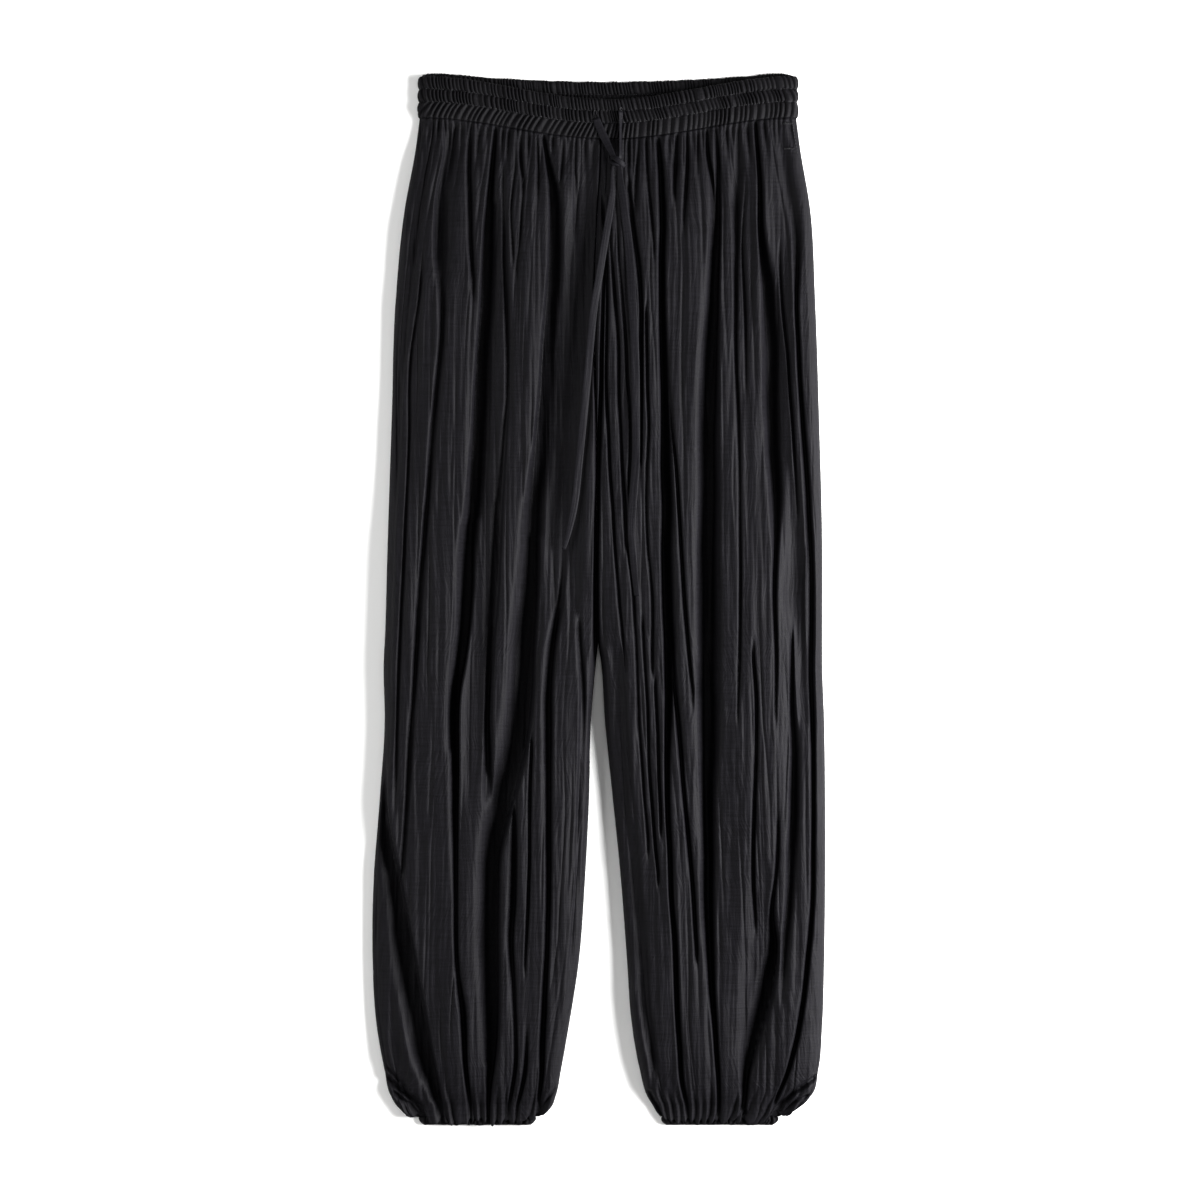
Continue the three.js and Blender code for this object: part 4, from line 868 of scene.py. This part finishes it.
def buttonhole(band, x, y, tall=13.0, wide=4.0, bars=30):
    """Bars of thread round an upright buttonhole."""
    stitches = []
    for angle in 2 * np.pi * np.arange(bars) / bars:
        inner = (x + 0.35 * wide * np.cos(angle) * 0.7, y + 0.5 * (tall - 2.4) * np.sin(angle))
        outer = (x + 0.5 * wide * np.cos(angle) * 1.1, y + 0.5 * tall * np.sin(angle))
        start, end = on_cloth(band, (inner, outer), 0.3)
        end[2] = start[2] = max(start[2], end[2])
        stitches.append((start, end))
    return stitches


def bar_tack(sheet, x0, y0, x1, y1, bars=9):
    """A short dense bar of thread across the end of an opening."""
    stitches = []
    for part in np.linspace(0, 1, bars):
        x, y = x0 + (x1 - x0) * part, y0 + (y1 - y0) * part
        stitches.append(tuple(on_cloth(sheet, ((x, y - 1.1), (x + 0.3, y + 1.1)), 0.3)))
    return stitches


# Materials
def colour(hex_code):
    """An sRGB hex colour as linear RGBA."""
    channels = [int(hex_code[i:i + 2], 16) / 255 for i in (1, 3, 5)]
    linear = [c / 12.92 if c <= 0.04045 else ((c + 0.055) / 1.055) ** 2.4 for c in channels]
    return (*linear, 1.0)


def add_node(material, kind, inputs=None, **settings):
    """Adds a node, sets its properties, and links or sets its inputs."""
    tree = material.node_tree
    node = tree.nodes.new(kind)
    for key, value in settings.items():
        setattr(node, key, value)
    for key, value in (inputs or {}).items():
        if isinstance(value, bpy.types.NodeSocket):
            tree.links.new(value, node.inputs[key])
        else:
            node.inputs[key].default_value = value
    return node


def crinkled_viscose(name, base, slub_and_lit_crest, roughness):
    """Crinkled plain-weave viscose, dyed near black: a soft low sheen on the ridges and fine lengthwise creases. Its
    colour is lighter on the slubs, and also lighter on the crests of the fine creases and darker in their hollows,
    which is painted light and shade.
    """
    material = bpy.data.materials.new(name)
    material.use_nodes = True
    tree = material.node_tree
    shader = tree.nodes["Principled BSDF"]
    uv = add_node(material, "ShaderNodeUVMap", uv_map="cloth")
    # lengthwise creases every 2.5 mm or so, long along the leg
    creases = add_node(material, "ShaderNodeMapping", {"Vector": uv.outputs["UV"], "Scale": (400, 22, 1)})
    crease = add_node(material, "ShaderNodeTexNoise", {"Vector": creases.outputs[0], "Scale": 1.0, "Detail": 3.0})
    # slubs: thicker crosswise threads, really about 0.8 mm apart and drawn at 2 mm so that they show
    slubs = add_node(material, "ShaderNodeMapping", {"Vector": uv.outputs["UV"], "Scale": (40, 520, 1)})
    slub = add_node(material, "ShaderNodeTexNoise", {"Vector": slubs.outputs[0], "Scale": 1.0, "Detail": 2.0})
    # plain weave, 0.5 mm threads
    yarns = {"Vector": uv.outputs["UV"], "Scale": 320.0, "Distortion": 1.5}
    warp = add_node(material, "ShaderNodeTexWave", yarns, bands_direction="X")
    weft = add_node(material, "ShaderNodeTexWave", yarns, bands_direction="Y")
    weave = add_node(material, "ShaderNodeMath", {0: warp.outputs["Fac"], 1: weft.outputs["Fac"]},
                     operation="MULTIPLY")
    # colour follows the slubs, thicker threads with their own tone, and the fine creases' relief: painted highlight
    # on the crease crests and painted shade in the crease hollows
    shade = add_node(material, "ShaderNodeMath", {0: slub.outputs["Fac"], 1: crease.outputs["Fac"]}, operation="ADD")
    tone = add_node(material, "ShaderNodeMapRange", {"Value": shade.outputs[0], "From Min": 0.7, "From Max": 1.3})
    mixed = add_node(material, "ShaderNodeMix", {"Factor": tone.outputs[0], "A": colour(base), "B": colour(slub_and_lit_crest)},
                     data_type="RGBA")
    tree.links.new(mixed.outputs["Result"], shader.inputs["Base Color"])
    rough = add_node(material, "ShaderNodeMapRange", {"Value": slub.outputs["Fac"], "To Min": roughness - 0.08,
                                                      "To Max": roughness + 0.1})
    tree.links.new(rough.outputs[0], shader.inputs["Roughness"])
    coarse = add_node(material, "ShaderNodeBump", {"Height": crease.outputs["Fac"], "Strength": 0.5,
                                                   "Distance": 0.0012})
    cross = add_node(material, "ShaderNodeBump", {"Height": slub.outputs["Fac"], "Strength": 0.4,
                                                  "Distance": 0.0006, "Normal": coarse.outputs[0]})
    fine = add_node(material, "ShaderNodeBump", {"Height": weave.outputs[0], "Strength": 0.3, "Distance": 0.0002,
                                                 "Normal": cross.outputs[0]})
    tree.links.new(fine.outputs[0], shader.inputs["Normal"])
    shader.inputs["IOR"].default_value = 1.5
    shader.inputs["Specular IOR Level"].default_value = 0.12
    shader.inputs["Sheen Weight"].default_value = 0.02
    shader.inputs["Sheen Roughness"].default_value = 0.4
    shader.inputs["Sheen Tint"].default_value = colour("#9a98a2")
    return material


def polyester_thread():
    """Black polyester sewing thread: round, slightly shinier than the cloth."""
    material = bpy.data.materials.new("polyester_thread")
    material.use_nodes = True
    shader = material.node_tree.nodes["Principled BSDF"]
    place = add_node(material, "ShaderNodeTexCoord")
    twist = add_node(material, "ShaderNodeTexNoise", {"Vector": place.outputs["Object"], "Scale": 2400.0})
    mixed = add_node(material, "ShaderNodeMix", {"Factor": twist.outputs["Fac"], "A": colour("#151417"),
                                                 "B": colour("#232226")}, data_type="RGBA")
    material.node_tree.links.new(mixed.outputs["Result"], shader.inputs["Base Color"])
    shader.inputs["Roughness"].default_value = 0.5
    return material


# Studio
def camera_above():
    """The photograph's view: straight down, through a long lens, 1.2 m of the surface across the frame."""
    lens, sensor, across = 100.0, 36.0, 1.2
    height = across * lens / sensor
    place = in_frame([(0.0, 0.0, 0.0)])[0]
    bpy.ops.object.camera_add(location=(place[0], place[1], height), rotation=(0, 0, 0))
    camera = bpy.context.object
    camera.data.lens = lens
    camera.data.sensor_width = sensor
    camera.data.clip_end = 50
    bpy.context.scene.camera = camera


def studio():
    bpy.ops.mesh.primitive_plane_add(size=12, location=(0, 0, -0.0004))
    floor = bpy.context.object
    floor.name = "studio_floor"
    paper = bpy.data.materials.new("white_paper")
    paper.use_nodes = True
    shader = paper.node_tree.nodes["Principled BSDF"]
    shader.inputs["Base Color"].default_value = colour("#f4f4f3")
    shader.inputs["Roughness"].default_value = 0.9
    floor.data.materials.append(paper)
    # name, place and side in metres, power in watts
    lights = (
        ("softbox_right", (1.65, -0.05, 0.88), 1.05, 168.0),
        ("softbox_left", (-2.1, 0.0, 1.05), 1.3, 52.0),
        ("softbox_top", (0.1, 0.5, 2.4), 1.6, 9.0),
    )
    for name, place, size, power in lights:
        bpy.ops.object.light_add(type="AREA", location=place)
        light = bpy.context.object
        light.name = name
        light.data.shape = "SQUARE"
        light.data.size = size
        light.data.energy = power
        light.rotation_euler = (Vector((0, 0, 0)) - Vector(place)).to_track_quat("-Z", "Y").to_euler()
    world = bpy.context.scene.world or bpy.data.worlds.new("studio")
    bpy.context.scene.world = world
    world.use_nodes = True
    # the photograph is printed hard, with deep blacks
    bpy.context.scene.view_settings.view_transform = "Standard"
    bpy.context.scene.view_settings.gamma = 0.8
    background = world.node_tree.nodes["Background"]
    background.inputs["Color"].default_value = (1, 1, 1, 1)
    background.inputs["Strength"].default_value = 0.2


def finish_cloth(piece, material):
    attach(piece, "root")
    piece.data.materials.append(material)


def main():
    bpy.ops.object.select_all(action="DESELECT")
    camera_above()
    tie_cloth = crinkled_viscose("pressed_viscose_tie", "#131216", "#1b1a1e", 0.58)
    drawstring(tie_cloth)
    leg_cloth = crinkled_viscose("crinkled_viscose_leg", "#100f12", "#1a191d", 0.6)
    # the waistband and hem casings are the legs' viscose, given a darker copy: painted shade standing in for the
    # shade among their gathers
    shaded_band_cloth = crinkled_viscose("crinkled_viscose_band_painted_shade", "#0d0c0f", "#151417", 0.62)
    thread = polyester_thread()
    sewing = {}
    bands = {}
    for half_name in ("back", "front"):
        piece, band = waistband(half_name)
        finish_cloth(piece, shaded_band_cloth)
        for number, (low, *_) in enumerate(WAIST_CHANNELS[:-1]):
            line = band[int(round(low * (band.shape[0] - 1)))] + np.array([0, 0, 0.12])
            sewing[f"stitches_{half_name}_{number}"] = row_of_stitches(line[4:-4])
        bands[half_name] = band
    for name, (x, y) in BUTTONHOLES.items():
        sewing[f"buttonhole_{name}"] = buttonhole(bands["front"], x, y)
    for side in ("right", "left"):
        for half_name in ("back", "front"):
            piece, casing = cuff(side, half_name)
            finish_cloth(piece, shaded_band_cloth)
        front, sheet = leg_front(side, bands["front"][-1], casing[0])
        finish_cloth(front, leg_cloth)
        finish_cloth(leg_back(side), leg_cloth)
    # topstitching and bar tacks at the wearer's left side
    row = [(SIDE_ROW["x"] + (SIDE_ROW["top"] - y) * SIDE_ROW["slant"], y)
           for y in range(SIDE_ROW["top"], SIDE_ROW["end"], -4)]
    sewing["side_topstitch"] = row_of_stitches(on_cloth(sheet, row), 2.4, 0.8)
    for name, ends in SIDE_TACKS.items():
        sewing[f"side_tack_{name}"] = bar_tack(sheet, *ends)
    for name, stitches in sewing.items():
        piece = threads(name, stitches)
        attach(piece, "root")
        piece.data.materials.append(thread)
    studio()


main()
